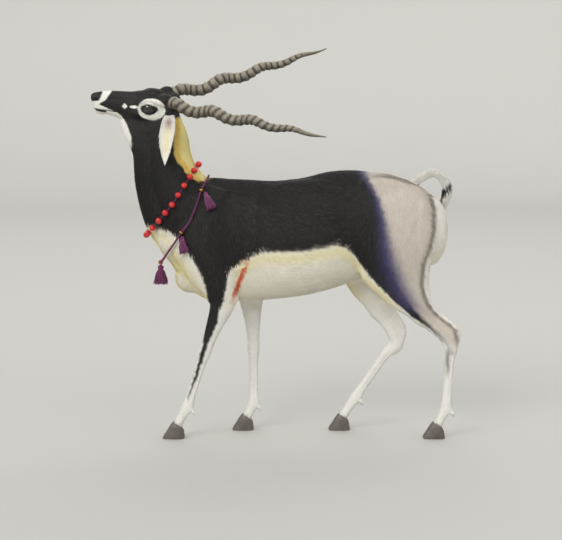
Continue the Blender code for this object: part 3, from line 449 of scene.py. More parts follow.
def grain_group() -> bpy.types.NodeTree:
    """The shared grain: strands and flecks drawn out along one way, as a shade and a height.

    Returns:
        The group, the same one at every call.
    """
    name = "fine_grain"
    if name in bpy.data.node_groups:
        return bpy.data.node_groups[name]
    tree = bpy.data.node_groups.new(name, "ShaderNodeTree")
    sockets = (
        ("Vector", "INPUT", "Vector"),
        ("Stretch", "INPUT", "Vector"),
        ("Scale", "INPUT", "Float"),
        ("Shade", "OUTPUT", "Float"),
        ("Height", "OUTPUT", "Float"),
    )
    for word, way, kind in sockets:
        tree.interface.new_socket(word, in_out=way, socket_type=f"NodeSocket{kind}")
    place, stretch, scale = list(tree.nodes.new("NodeGroupInput").outputs)[:3]
    coarse_share = 0.13
    drawn = add_node(tree, "VectorMath", {0: place, 1: stretch}, operation="MULTIPLY").outputs[0]
    noise = {"Vector": drawn, "Scale": scale, "Detail": 4.0, "Roughness": 0.6}
    fine = add_node(tree, "TexNoise", noise).outputs["Fac"]
    wide = add_node(tree, "Math", {0: scale, 1: coarse_share}, operation="MULTIPLY").outputs[0]
    coarse = add_node(tree, "TexNoise", {"Vector": place, "Scale": wide, "Detail": 2.0}).outputs["Fac"]
    both = add_node(tree, "Math", {0: fine, 1: coarse}, operation="ADD").outputs[0]
    shade = add_node(tree, "Math", {0: both, 1: 0.5}, operation="MULTIPLY").outputs[0]
    feed(tree.nodes.new("NodeGroupOutput"), {"Shade": shade, "Height": fine})
    return tree


def new_material(name: str) -> tuple[bpy.types.Material, bpy.types.Node]:
    """A new material and its main shader."""
    made = bpy.data.materials.new(name)
    made.use_nodes = True
    return made, made.node_tree.nodes["Principled BSDF"]


@dataclass(frozen=True)
class Finish:
    """How one kind of surface is dressed: its colour, gloss, grain and relief.

    With no base colour it reads the mesh's own tones.
    """

    name: str
    slot: str
    roughness: float
    base: Tone | None = None
    deep: Tone | None = None
    stretch: Spot = (1.0, 1.0, 1.0)
    grain: float = 400.0
    relief: float = 0.0004
    variation: float = 0.25
    metallic: float = 0.0
    specular: float = 0.5
    sheen: float = 0.0
    sheen_roughness: float = 0.4
    coat: float = 0.0
    coat_roughness: float = 0.08

    def material(self) -> bpy.types.Material:
        """Builds the material once.

        Returns:
            The material, the same one at every call.
        """
        if self.name in bpy.data.materials:
            return bpy.data.materials[self.name]
        made, shader = new_material(self.name)
        tree = made.node_tree
        place = add_node(tree, "TexCoord").outputs["Object"]
        strands = {"Vector": place, "Stretch": self.stretch, "Scale": self.grain}
        grain = add_node(tree, "Group", strands, node_tree=grain_group())
        shade = grain.outputs["Shade"]
        if self.base is None:
            colour = add_node(tree, "Attribute", attribute_name=TONES).outputs["Color"]
            deep = mixed(tree, 1.0, colour, (0.45, 0.45, 0.45, 1), "MULTIPLY")
        else:
            colour = (*self.base, 1)
            deep = (*(self.deep or tuple(0.4 * c for c in self.base)), 1)
        shades = {"Value": shade, "From Min": 0.62, "From Max": 0.36, "To Max": self.variation * 2}
        contrast = add_node(tree, "MapRange", shades).outputs[0]
        smooth, rough = max(0.02, self.roughness * 0.85), min(1.0, self.roughness * 1.2)
        glosses = {"Value": shade, "From Min": 0.3, "From Max": 0.7, "To Min": smooth, "To Max": rough}
        relief = add_node(tree, "Bump", {"Height": grain.outputs["Height"], "Distance": self.relief})
        inputs = {
            "Base Color": mixed(tree, contrast, colour, deep),
            "Roughness": add_node(tree, "MapRange", glosses).outputs[0],
            "Normal": relief.outputs[0],
            "Metallic": self.metallic,
            "Specular IOR Level": self.specular,
            "Sheen Weight": self.sheen,
            "Sheen Roughness": self.sheen_roughness,
            "Coat Weight": self.coat,
            "Coat Roughness": self.coat_roughness,
        }
        feed(shader, inputs)
        return made


SKIN_FINISH = Finish(
    "short_fur", "coat_black", 0.66, stretch=(0.35, 1.0, 0.55), grain=700, relief=0.0004, variation=0.12
)
TUFT_FINISH = Finish(
    "fur_tufts", "coat_black", 0.62, grain=300, relief=0.00005, variation=0.08, specular=0.3, sheen=0.03
)
HORN_FINISH = Finish("ringed_horn", "horn", 0.52, stretch=(0.3, 1.0, 1.0), grain=420, relief=0.0005)
HOOF_FINISH = Finish(
    "hoof_horn", "hoof", 0.42, base=tone(104, 96, 90), stretch=(1.0, 1.0, 0.25), grain=500, relief=0.0003
)
LID_FINISH = Finish("lid_skin", "eye", 0.30, base=tone(20, 17, 17), grain=900, relief=0.0002, coat=0.4)
BEAD_FINISH = Finish(
    "red_beads", "bead", 0.36, base=tone(206, 38, 36), grain=260, relief=0.00006, variation=0.12, coat=0.15
)
PURPLE_FINISH = Finish(
    "purple_thread", "cord", 0.78, base=tone(122, 38, 100), deep=tone(66, 18, 58), grain=900, sheen=0.35
)
BRASS_FINISH = Finish(
    "worn_brass", "brass", 0.28, base=tone(222, 168, 62), deep=tone(120, 82, 30), grain=500, metallic=1.0
)


def dress(item: Piece, finish: Finish) -> Piece:
    """Gives a piece its finish and smooth shading."""
    item.data.materials.clear()
    item.data.materials.append(finish.material())
    item.data.shade_smooth()
    return item


@dataclass(frozen=True)
class Border:
    """A border of the coat's pattern in side view: how far it reaches at each place along it."""

    places: tuple[float, ...]
    reaches: tuple[float, ...]

    def at(self, where: Rows) -> Rows:
        """The border's reach at given places."""
        return np.interp(where, self.places, self.reaches)


MOUTH = Border((0.145, 0.170, 0.226), (0.0025, 0.0040, 0.0068))


@dataclass(frozen=True)
class Markings:
    """The coat's pattern, as functions of place and of the way that the skin faces.

    Borders give z for x along the belly, and x for z across the body and down the legs.
    """

    tones: CoatTones = CoatTones()
    belly: Border = Border(
        (-0.108, -0.052, 0.071, 0.133, 0.179, 0.210, 0.232, 0.272)
        + (0.318, 0.365, 0.426, 0.456, 0.484, 0.511, 0.530),
        (0.555, 0.584, 0.584, 0.596, 0.606, 0.596, 0.575, 0.519)
        + (0.467, 0.420, 0.368, 0.350, 0.325, 0.297, 0.262),
    )
    haunch: Border = Border(
        (0.262, 0.297, 0.325, 0.350, 0.374, 0.430, 0.482, 0.538, 0.606, 0.683, 0.745, 0.822),
        (0.545, 0.526, 0.500, 0.472, 0.447, 0.395, 0.365, 0.345, 0.331, 0.321, 0.306, 0.255),
    )
    breast: Border = Border(
        (0.130, 0.199, 0.294, 0.371, 0.422, 0.473, 0.511, 0.553, 0.601, 0.619, 0.645, 0.652, 0.670),
        (-0.274, -0.252, -0.227, -0.219, -0.212, -0.215, -0.229, -0.252)
        + (-0.280, -0.300, -0.331, -0.377, -0.480),
    )
    armpit: Border = Border(
        (0.130, 0.199, 0.294, 0.358, 0.396, 0.435, 0.473, 0.524, 0.555),
        (-0.271, -0.242, -0.211, -0.183, -0.177, -0.162, -0.156, -0.147, -0.108),
    )
    nape: Border = Border((0.790, 0.819, 0.853, 0.875, 0.973), (-0.245, -0.278, -0.303, -0.314, -0.314))
    breast_way: Spot = (-0.81, 0.0, -0.58)
    rump: Border = Border(
        (0.300, 0.337, 0.360, 0.389, 0.420, 0.451, 0.482, 0.544, 0.606, 0.652, 0.714, 0.739, 0.760),
        (0.556, 0.550, 0.524, 0.487, 0.463, 0.450, 0.442, 0.448, 0.470, 0.479, 0.478, 0.470, 0.478),
    )
    mask: Border = Border(
        (0.884, 0.922, 0.959, 0.976, 0.990, 1.000, 1.012, 1.0244, 1.0374, 1.0575, 1.075),
        (-0.449, -0.445, -0.458, -0.467, -0.477, -0.491, -0.518, -0.5438, -0.5222, -0.5083, -0.500),
    )
    muzzle: Border = Border((1.0336, 1.0361, 1.0575), (-0.5485, -0.5423, -0.5330))

    def side_view(self, points: Rows) -> tuple[Rows, Rows]:
        """Places in the left side's view, with the right side's legs moved onto the left ones."""
        x, y, z = points.T
        moved = x.copy()
        for pair, low, high in ((FORELEGS, 0.42, 0.62), (HINDLEGS, 0.50, 0.70)):
            left, right = (leg.points() for leg in pair)
            gap = np.interp(z, right[::-1, 2], right[::-1, 0]) - np.interp(z, left[::-1, 2], left[::-1, 0])
            near = x < 0.10 if pair is FORELEGS else x >= 0.10
            share = 1 - soft(z - (low + high) / 2, (high - low) / 2)
            moved -= np.where((y > 0) & near, gap * share, 0)
        return moved, z

    def body(self, points: Rows, normals: Rows) -> Rows:
        """Colours of the neck, trunk and legs.

        Args:
            points: Places on the skin.
            normals: The way that it faces there.

        Returns:
            A colour for each place.
        """
        wander, wave = 0.0022, 0.018
        ragged = points + np.stack([ripple(points, wave, s) for s in (1, 2, 3)], 1) * wander
        x, z = self.side_view(ragged)
        outward = normals[:, 1] * np.sign(points[:, 1])
        off_middle = soft(np.abs(points[:, 1]) - 0.045, 0.015)
        outer = np.maximum(soft(outward + 0.15, 0.20) * off_middle, soft(z - 0.64, 0.03))
        hair_edge, front_half, hind_half = 0.004, -0.10, 0.10
        ahead_of = self.haunch.at(z) - x
        from_breast = x - self.breast.at(z)
        above = np.maximum(z - self.belly.at(x), np.where(x < front_half, self.armpit.at(z) - x, -1.0))
        inside = soft(np.minimum(from_breast, above), hair_edge)

        # The pale underside, with cream painted as shade where it faces down, along its rim under the black
        # and down the breast's front, gold painted as shade where the breast faces forward and down, and the
        # streak behind the elbow.
        colour = np.tile(self.tones.white, (len(points), 1))
        under = soft(-normals[:, 2] - 0.1, 0.5) * soft(z - LEGS_TOP, 0.03)
        rim = bell(above + 0.022, 0.020) * soft(x + 0.13, 0.02) * soft(z - 0.42, 0.03)
        front = bell(from_breast + 0.045, 0.025) * between(z, 0.46, 0.66, 0.04, 0.02)
        yellow = np.clip(0.30 * under + 0.70 * rim + 0.5 * front, 0, 0.9)
        colour = blend_tones(colour, self.tones.cream, yellow)
        edge = soft(normals @ self.breast_way - 0.76, 0.12) * between(z, 0.41, 0.64, 0.02, 0.02)
        colour = blend_tones(colour, self.tones.gold, 0.85 * edge * soft(-0.21 - x, 0.02))
        streak = soft(0.0075 - np.abs(x + 0.112 - 0.35 * (z - 0.50)), 0.0025)
        streak = streak * between(z, 0.44, 0.555, 0.03, 0.02)
        colour = blend_tones(colour, self.tones.rufous, 0.95 * streak * soft(outward + 0.3, 0.3))

        # The grey haunch, with dusk-coloured lines over the croup, down its back and down the shank.
        rear = soft(-ahead_of, 0.012) * soft(z - self.belly.at(x) + 0.004, hair_edge) * outer
        beyond = x - self.rump.at(z)
        rear = rear * soft(-beyond, hair_edge) * soft(z - 0.285, 0.03)
        colour = blend_tones(colour, self.tones.grey, rear)
        croup = soft(normals[:, 2] - 0.85, 0.08) * soft(x - 0.30, 0.05) * rear
        line = bell(beyond + 0.006, 0.0075) * between(z, 0.30, 0.80, 0.02, 0.02) * (x > hind_half)
        shin = bell(x - 0.522, 0.007) * between(z, 0.205, 0.275, 0.025, 0.012)
        line = np.maximum(line, shin) * np.maximum(soft(outward + 0.1, 0.3), rear)
        colour = blend_tones(colour, self.tones.dusk, 0.8 * np.maximum(croup, line))

        # The black back and flank, and the violet band that parts them from the haunch, painted as a
        # blue-black sheen along the black's edge.
        band = 0.011 + 0.020 * soft(0.62 - z, 0.12)
        violet = bell((ahead_of - 0.002) / band, 1.0)
        black = inside * soft(ahead_of, 0.010) * outer * soft(z - 0.125, 0.01)
        shank, shank_shade = 0.35 + 0.65 * soft(z - 0.33, 0.05), soft(0.548 - x, 0.01)
        black = black * np.where(x > 0.3, shank, 1) * shank_shade
        colour = blend_tones(colour, self.tones.black, black)
        shown = violet * inside * outer * soft(z - LEGS_TOP, 0.03) * (x > 0.15)
        colour = blend_tones(colour, self.tones.violet, 0.85 * shown)

        # The gold nape, amber along its front, and the white throat.
        behind = (x - self.nape.at(z)) * soft(z - 0.775, 0.02)
        gold = soft(behind, hair_edge) * between(z, 0.795, 1.01, 0.006, 0.02) * soft(-0.215 - x, 0.012)
        colour = blend_tones(colour, self.tones.gold, gold)
        colour = blend_tones(colour, self.tones.amber, 0.8 * gold * soft(0.016 - behind, 0.008))
        throat = soft(self.mask.at(z) - x, 0.003) * soft(z - 0.886, 0.004)
        return blend_tones(colour, self.tones.white, throat)

    def face(self, points: Rows) -> Rows:
        """Colours of the head, drawn in side view on its left half and mirrored on its right one.

        Args:
            points: Places on the head.

        Returns:
            A colour for each place.
        """
        wander, wave = 0.0008, 0.009
        ragged = points + np.stack([ripple(points, wave, s) for s in (4, 5, 6)], 1) * wander
        place = to_head(ragged)
        place[:, 1] = np.abs(place[:, 1])
        along, out, high = place.T
        x, _, z = from_head(place).T
        fine = 0.0020
        colour = np.tile(self.tones.black, (len(points), 1))
        on_side = soft(out - 0.018, 0.004)
        white = soft(self.mask.at(z) - x, fine)
        ring_x, ring_z = (x + 0.3816) / 0.0455, (z - 1.0092) / 0.0325
        ring = soft(1 - np.hypot(ring_x, ring_z) - 0.10 * ring_x**4, 0.05)
        streak = soft(1 - np.hypot((x + 0.4362) / 0.0130, (z - 1.0161) / 0.0048), 0.18)
        spot = soft(1 - (np.abs(x + 0.4644) + np.abs(z - 1.0179)) / 0.0090, 0.15)
        white = np.maximum(white, on_side * np.maximum.reduce([ring, streak, spot]))
        colour = blend_tones(colour, self.tones.white, white)
        eye = np.hypot((along - EYE_CENTRE[0] + 0.001) / 0.0265, (high - EYE_CENTRE[2] + 0.001) / 0.0158)
        nose = soft(self.muzzle.at(z) - x, fine) * soft(z - 1.0332, 0.0015)
        below = MOUTH.at(along) - high
        mouth = between(below, -0.0018, 0.0072, 0.0012, 0.0016) * soft(along - 0.183, 0.004)
        line = bell(below, 0.0019) * soft(along - 0.148, 0.003)
        bare = np.maximum.reduce([soft(1 - eye, 0.06) * on_side, nose, mouth, line])
        return blend_tones(colour, self.tones.bare, bare)

    def coat(self, points: Rows, normals: Rows) -> Rows:
        """Colours anywhere on the skin."""
        colour = self.body(points, normals)
        chosen = on_head(points)
        colour[chosen] = self.face(points[chosen])
        return colour

    def ear(self, points: Rows, facing_out: Rows, share: Rows, across: Rows) -> Rows:
        """Colours of an ear: dusky behind, pale inside with a cream middle and a mauve root."""
        colour = np.tile(self.tones.white, (len(points), 1))
        middle = bell(across, 0.45) * between(share, 0.10, 0.80, 0.06, 0.15)
        colour = blend_tones(colour, self.tones.cream, 0.9 * middle)
        colour = blend_tones(colour, self.tones.mauve, 0.85 * bell(share - 0.17, 0.11) * bell(across, 0.5))
        back = (1 - facing_out) * soft(0.85 - np.abs(across), 0.08)
        return blend_tones(colour, self.tones.dusk, 0.8 * back)


def past_joint(points: Rows) -> Rows:
    """How far points lie on the head's side of its joint with the neck."""
    return (points[:, 0] + 0.390) * -0.47 + (points[:, 2] - 0.938) * 0.88


def on_head(points: Rows) -> Rows:
    """Which points lie on the head's side of its joint with the neck."""
    return past_joint(points) > 0


@dataclass(frozen=True)
class Lie:
    """The way that the hair lies, read from runs along the buck's bones."""

    nearness: float = 0.02
    fall: float = 0.22
    body_runs: tuple[tuple[Spot, ...], ...] = (
        ((-0.345, 0, 1.00), (-0.35, 0, 0.88), (-0.28, 0, 0.76), (-0.16, 0, 0.70)),
        ((-0.38, 0, 0.80), (-0.36, 0, 0.62), (-0.30, 0, 0.48)),
        ((-0.20, 0, 0.76), (0.10, 0, 0.74), (0.35, 0, 0.74), (0.49, 0, 0.66)),
        ((-0.28, 0, 0.47), (-0.10, 0, 0.44), (0.15, 0, 0.47), (0.28, 0, 0.50)),
    )

    def runs(self) -> list[tuple[Rows, Rows]]:
        """Starts and ends of every run, in the order that the hair follows them."""
        head_runs = (((0.235, 0, 0.03), (0.10, 0, 0.02)), ((0.10, 0, 0.02), (-0.04, 0, 0.0)))
        lines = [from_head(np.array(run, float)) for run in head_runs]
        lines += [np.array(run) for run in self.body_runs]
        for leg in FORELEGS + HINDLEGS:
            joints = leg.points()
            if leg in FORELEGS:
                joints = np.vstack([(-0.19, leg.side.value * 0.09, 0.70), joints])
            lines.append(joints)
        return [(a, b) for line in lines for a, b in zip(line, line[1:])]

    def along(self, points: Rows, normals: Rows) -> Rows:
        """The hair's way at points of the skin, flat along it.

        Args:
            points: Places on the skin.
            normals: The way that the skin faces there.

        Returns:
            Unit rows, each at a right angle to its normal.
        """
        total = np.zeros_like(points)
        for start, end in self.runs():
            way = end - start
            share = np.clip((points - start) @ way / (way @ way), 0, 1)
            away = np.linalg.norm(points - start - share[:, None] * way, axis=1)
            total += unit(way)[None] / (away[:, None] ** 2 + self.nearness**2) ** 2
        total = unit(total)
        total[:, 2] -= self.fall
        total += np.stack([ripple(points, 0.12, s) for s in (7, 8, 9)], 1) * 0.06
        return flat_on(normals, total)


@dataclass(frozen=True)
class Cut:
    """How the fur of one region is cut: spacing, length and width of its tufts, and how they stand.

    A round cut is shaded as the skin under it, with its edges turned outwards so far. A cut that isn't round
    keeps the shading of its own faces.
    """

    spacing: float
    length: float
    width: float
    stand: float = 0.16
    segments: int = 2
    droop: float = 0.0
    sink: float = 0.0006
    sway: float = 0.13
    ridge: float = 0.34
    round: float = 0.60


def blade_faces(segments: int) -> Rows:
    """Corners of one closed tapered blade: three-sided rings and a tip."""
    left, right, ridge = 0, 1, 2
    faces = [(left, right, ridge)]
    for k in range(segments - 1):
        here, there = 3 * k, 3 * (k + 1)
        for one, two in ((right, left), (left, ridge), (ridge, right)):
            faces.append((here + one, here + two, there + one))
            faces.append((here + two, there + two, there + one))
    last, tip = 3 * (segments - 1), 3 * segments
    for one, two in ((right, left), (left, ridge), (ridge, right)):
        faces.append((last + one, last + two, tip))
    return np.array(faces)


def blades(
    name: str,
    roots: Rows,
    ways: Rows,
    normals: Rows,
    tones: Rows,
    cut: Cut,
    draw: np.random.Generator,
    grade: Rows | float = 1.0,
) -> Piece:
    """Grows one closed, tapered, bent tuft at each root, and stores its colours and its bake map.

    Args:
        name: The new object's name.
        roots: Places on the skin.
        ways: The way that the hair lies at each.
        normals: The way that the skin faces at each.
        tones: The colour of each tuft.
        cut: The tufts' sizes.
        draw: The source of the small differences between tufts.
        grade: How long each tuft is beside the cut's own length.

    Returns:
        The tufts as one object.
    """
    count, rings = len(roots), cut.segments
    left = unit(np.cross(normals, ways))
    sway = draw.normal(0, cut.sway, count)[:, None]
    ways = unit(ways + left * sway)
    left = unit(np.cross(normals, ways))
    length = cut.length * grade * draw.uniform(0.75, 1.25, count)
    width = cut.width * draw.uniform(0.8, 1.2, count)
    stand = cut.stand * draw.uniform(0.6, 1.4, count)
    pale = soft(tones.mean(axis=1) - 0.35, 0.15)
    shade = 1 + draw.uniform(-0.16, 0.16, count) * (1 - 0.60 * pale)
    patch = bake_places(roots)
    places, colours, spots, facings = [], [], [], []
    for k in range(rings + 1):
        t = k / rings
        rise = stand * length * (1.5 * t - 0.6 * t * t) - cut.sink * (1 - t)
        centre = roots + ways * (length * t)[:, None] + normals * rise[:, None]
        centre[:, 2] -= cut.droop * length * t * t
        wide = width * (0.5 if k == 0 else 0.5 - 0.32 * t)
        # Painted shade: each tuft is darker towards its root, as shade among the hairs, less so on pale
        # tufts; the random shade of each tuft is its own tone.
        colour = tones * (shade * (1.04 - (0.24 - 0.15 * pale) * (1 - t)))[:, None]
        if k == rings:
            places.append(centre[:, None])
            colours.append(colour[:, None])
            facings.append(normals[:, None])
            spots.append(patch[:, None] + np.array([[0.0, 0.5]]) * PATCH)
            continue
        sides = (left * wide[:, None], -left * wide[:, None], normals * (wide * cut.ridge)[:, None])
        places.append(centre[:, None] + np.stack(sides, 1))
        colours.append(np.repeat(colour[:, None], 3, axis=1))
        facings.append(np.stack((normals + left * cut.round, normals - left * cut.round, normals), 1))
        corners = np.array([[-0.5, t - 0.5], [0.5, t - 0.5], [0.0, t - 0.45]])
        spots.append(patch[:, None] + corners[None] * PATCH)
    points = np.concatenate(places, 1)
    per = points.shape[1]
    faces = blade_faces(rings)[None] + (np.arange(count) * per)[:, None, None]
    item = mesh_from(name, points.reshape(-1, 3), faces.reshape(-1, 3))
    paint(item, np.concatenate(colours, 1).reshape(-1, 3))
    item.data.shade_smooth()
    if cut.round:
        item.data.normals_split_custom_set_from_vertices(unit(np.concatenate(facings, 1).reshape(-1, 3)))
    layer = item.data.uv_layers.new(name=BAKE_MAP)
    flat = np.concatenate(spots, 1).reshape(-1, 2)[faces.reshape(-1)]
    layer.data.foreach_set("uv", flat.astype(np.float32).ravel())
    return item


def bake_places(roots: Rows) -> Rows:
    """Where each root lies on an unwrap round the long axis of the stretch of skin that it grows on."""
    middle = roots.mean(axis=0)
    _, _, axes = np.linalg.svd((roots - middle)[:: max(1, len(roots) // 4000)], full_matrices=False)
    along, one, two = ((roots - middle) @ axes.T).T
    turn = np.arctan2(two, one) / math.tau + 0.5
    length = (along - along.min()) / max(np.ptp(along), 1e-6)
    margin = 0.01
    return margin + np.stack([turn, length], 1) * (1 - 2 * margin)


def sow(
    item: Piece, spacing: float, seed: int, wanted: Callable[[Rows], Rows]
) -> tuple[Rows, Rows]:
    """Spreads roots evenly over the wanted part of a mesh.

    Args:
        item: The object to sow on.
        spacing: About how far apart roots stand.
        seed: Seeds the draw.
        wanted: Says which face centres take roots.

    Returns:
        Roots and the normals there, as rows.
    """
    mesh = item.data
    mesh.calc_loop_triangles()
    corners = np.empty(len(mesh.loop_triangles) * 3, np.int32)
    mesh.loop_triangles.foreach_get("vertices", corners)
    corners = corners.reshape(-1, 3)
    points, normals = points_of(mesh), normals_of(mesh)
    chosen = wanted(points[corners].mean(axis=1))
    corners = corners[chosen]
    a, b, c = (points[corners[:, k]] for k in range(3))
    area = np.linalg.norm(np.cross(b - a, c - a), axis=1) / 2
    draw = np.random.default_rng(seed)
    tries_per_root, cell_share = 4, 1.22
    tries = int(area.sum() / spacing**2 * tries_per_root)
    pick = draw.choice(len(area), tries, p=area / area.sum())
    u, v = draw.random(tries), draw.random(tries)
    folded = u + v > 1
    u[folded], v[folded] = 1 - u[folded], 1 - v[folded]
    shares = np.stack([1 - u - v, u, v], 1)
    roots = np.einsum("nk,nkd->nd", shares, points[corners[pick]])
    facing = unit(np.einsum("nk,nkd->nd", shares, normals[corners[pick]]))
    mixing_primes = np.array((73856093, 19349663, 83492791))
    cells = np.floor(roots / (spacing * cell_share)).astype(np.int64)
    keys = np.bitwise_xor.reduce(cells * mixing_primes, axis=1)
    _, first = np.unique(keys, return_index=True)
    first.sort()
    return roots[first], facing[first]


@dataclass(frozen=True)
class Stroke:
    """One pass of a modelling tool along the skin: a line, its half width and how far it lifts."""

    line: tuple[Spot, ...]
    half_width: float
    lift: float
    both_sides: bool = True


@dataclass(frozen=True)
class Eyes:
    """The eyeballs, the rims of the lids and the lashes."""

    radius: float = EYE_RADIUS
    half_long: float = 0.0183
    half_high: float = 0.0124
    lid: float = 0.0027
    cornea: float = 0.0017

    def frame(self, side: Side) -> Matrix:
        """The eye's own frame about the middle plane: z out of the head, x along the lids."""
        y = -side.value
        outward = Vector((0.20, y, 0.16)).normalized()
        along = Vector((1, 0, -0.10))
        along = (along - outward * along.dot(outward)).normalized()
        place = Matrix((along, outward.cross(along), outward)).transposed().to_4x4()
        place.translation = Vector((EYE_CENTRE[0], y * EYE_CENTRE[1], EYE_CENTRE[2]))
        return HEAD @ place

    def opening(self, sides: int, grow: float = 1.0) -> Rows:
        """The lens shape of the opening between the lids, flat across the eye's frame."""
        turns = turns_round(sides)
        lens = np.abs(np.sin(turns)) ** 1.25 * np.sign(np.sin(turns))
        flat = np.stack([self.half_long * np.cos(turns), self.half_high * lens, np.zeros(sides)], 1)
        return flat * grow

    def cutters(self, side: Side) -> list[Piece]:
        """What opens the skin for an eye: a lens-shaped plug and the hollow that the ball fills."""
        sides, play = 48, 0.0002
        ends = ((0.004, 0.95), (0.040, 1.40))
        rings = [self.opening(sides, grow) + np.array((0, 0, depth)) for depth, grow in ends]
        plug = swept("lid_opening", np.array(rings))
        hollow = round_ball(40, 28, self.radius + play)
        for item in (plug, hollow):
            item.data.transform(self.frame(side))
        return [plug, hollow]

    def rim_line(self, sides: int) -> Rows:
        """The edge of the lids, on the ball, in the eye's frame."""
        flat = self.opening(sides)
        flat[:, 2] = np.sqrt((self.radius + 0.0016) ** 2 - flat[:, 0] ** 2 - flat[:, 1] ** 2)
        return flat

    def build(self) -> None:
        """Builds, dresses and seats the pieces of both eyes."""
        for side in Side:
            place = self.frame(side)
            seat(self.ball(side, place), "eye", f"eye_{side.word}")
            seat(self.rim(side, place), "eye")
            seat(self.lashes(side, place), "eye")

    def ball(self, side: Side, place: Matrix) -> Piece:
        """The eyeball with its clear bulge, and a map of its front for the iris."""
        item = round_ball(72, 48, self.radius)
        item.name = f"eyeball_{side.word}"
        points = points_of(item.data)
        reach = np.hypot(points[:, 0], points[:, 1])
        points[:, 2] += np.where(points[:, 2] > 0, self.cornea * bell(reach, 0.0105), 0)
        set_points(item.data, points)
        while item.data.uv_layers:
            item.data.uv_layers.remove(item.data.uv_layers[0])
        layer = item.data.uv_layers.new(name="iris")
        corners = np.empty(len(item.data.loops), np.int32)
        item.data.loops.foreach_get("vertex_index", corners)
        flat = points[corners, :2] / self.radius * 0.5 + 0.5
        layer.data.foreach_set("uv", flat.astype(np.float32).ravel())
        item.data.transform(place)
        item.data.materials.append(self.material())
        item.data.shade_smooth()
        return item

    def material(self) -> bpy.types.Material:
        """A dark brown iris with a wide level pupil, under a wet clear surface."""
        name = "wet_eye"
        if name in bpy.data.materials:
            return bpy.data.materials[name]
        made, shader = new_material(name)
        tree = made.node_tree
        spot = add_node(tree, "UVMap", uv_map="iris").outputs[0]
        rays = add_node(tree, "TexNoise", {"Vector": spot, "Scale": 34.0, "Detail": 5.0}).outputs["Fac"]
        iris = mixed(tree, rays, (*tone(18, 11, 8), 1), (*tone(46, 27, 16), 1))
        shell = self.oval_mask(tree, spot, (0.70, 0.66), 0.10)
        colour = mixed(tree, shell, (*tone(22, 14, 11), 1), iris)
        pupil = self.oval_mask(tree, spot, (0.46, 0.25), 0.05)
        colour = mixed(tree, pupil, colour, (*tone(5, 7, 12), 1))
        wet = {"Base Color": colour, "Roughness": 0.06, "Coat Weight": 1.0, "Coat Roughness": 0.02}
        feed(shader, wet)
        return made

    def oval_mask(
        self, tree: bpy.types.NodeTree, spot: bpy.types.NodeSocket, reach: tuple[float, float], edge: float
    ) -> bpy.types.NodeSocket:
        """A mask of an oval about the middle of the eye, with a soft edge."""
        stretch = (2 / reach[0], 2 / reach[1], 0)
        centred = add_node(tree, "VectorMath", {0: spot, 1: (0.5, 0.5, 0)}, operation="SUBTRACT").outputs[0]
        scaled = add_node(tree, "VectorMath", {0: centred, 1: stretch}, operation="MULTIPLY").outputs[0]
        far = add_node(tree, "VectorMath", {0: scaled}, operation="LENGTH").outputs["Value"]
        fall = {"Value": far, "From Min": 1 + edge, "From Max": 1 - edge}
        return add_node(tree, "MapRange", fall).outputs[0]

    def rim(self, side: Side, place: Matrix) -> Piece:
        """The thick dark edge of the lids, with the fleshy corner towards the nose."""
        line = self.rim_line(72)
        line = np.vstack([line, line[:1]])
        turns = turns_round(9)
        _, across, over = frames_along(line, (0, 0, 1))
        across[[0, -1]] = unit(across[0] + across[-1])
        over[[0, -1]] = unit(over[0] + over[-1])
        thick = 0.0013
        edge = swept("lid_edge", section(line, across * thick, over * thick, turns), filled=False)
        corner = round_ball(20, 12, 1)
        corner.data.transform(Matrix.Translation((self.half_long * 0.90, 0, 0.0108)))
        spots = points_of(corner.data)
        middle = spots.mean(axis=0)
        set_points(corner.data, middle + (spots - middle) * np.array((0.0040, 0.0026, 0.0032)))
        item = joined(f"lid_rim_{side.word}", [edge, corner])
        item.data.transform(place)
        return dress(item, LID_FINISH)

    def lashes(self, side: Side, place: Matrix) -> Piece:
        """Dark lashes along both lids, densest above."""
        sides = 150
        line = self.rim_line(sides)
        height = line[:, 1] / self.half_high
        up = np.sign(self.frame(side).to_3x3().col[1].z)
        upper = height * up > 0.25
        chosen = np.flatnonzero(upper | (np.arange(sides) % 4 == 0))
        roots = line[chosen]
        normals = unit(roots * np.array((0.4, 0.2, 1.0)))
        ways = unit(roots * np.array((0.7, 1.6, 0)) + np.array((-0.002, 0, 0.004)))
        turn = np.array(place.to_3x3())
        middle = np.array(place.translation)
        draw = np.random.default_rng(21)
        tones = np.tile(tone(18, 15, 14), (len(roots), 1))
        cut = Cut(0, 0.0085, 0.00055, stand=0.55, segments=3)
        item = blades(
            f"lashes_{side.word}", roots @ turn.T + middle, ways @ turn.T, normals @ turn.T, tones, cut, draw
        )
        return dress(item, TUFT_FINISH)


EYES = Eyes()
MARKINGS = Markings()
LIE = Lie()


@dataclass
class Placing:
    """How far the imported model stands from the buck's own middle plane."""

    shift: Vector

    @classmethod
    def from_eyes(cls) -> "Placing":
        """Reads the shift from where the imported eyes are."""
        wanted, found = Vector(), Vector()
        for side in Side:
            low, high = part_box(f"eye_{side.word}")
            found += (low + high) / 4
            wanted += EYES.frame(side).translation / 2
        return cls(found - wanted)


PLACING: list[Placing] = []
FRAME: dict = {}


def seat(piece: Piece, slot: str, *nodes: str) -> Piece:
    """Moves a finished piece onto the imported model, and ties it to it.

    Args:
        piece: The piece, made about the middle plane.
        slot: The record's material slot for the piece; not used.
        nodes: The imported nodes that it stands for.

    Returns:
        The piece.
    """
    piece.data.transform(Matrix.Translation(PLACING[0].shift))
    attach(piece, BODY)
    if nodes:
        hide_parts(*nodes)
    log.info("%s: %d faces", piece.name, len(piece.data.polygons))
    return piece


def free_copy(node: Piece) -> Piece:
    """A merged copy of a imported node's mesh, about the middle plane."""
    made = placed(node.name + "_copy", node.data.copy())
    made.data.transform(Matrix.Translation(-PLACING[0].shift))
    in_edit_mode(made, lambda: bpy.ops.mesh.remove_doubles(threshold=0.00002))
    return made


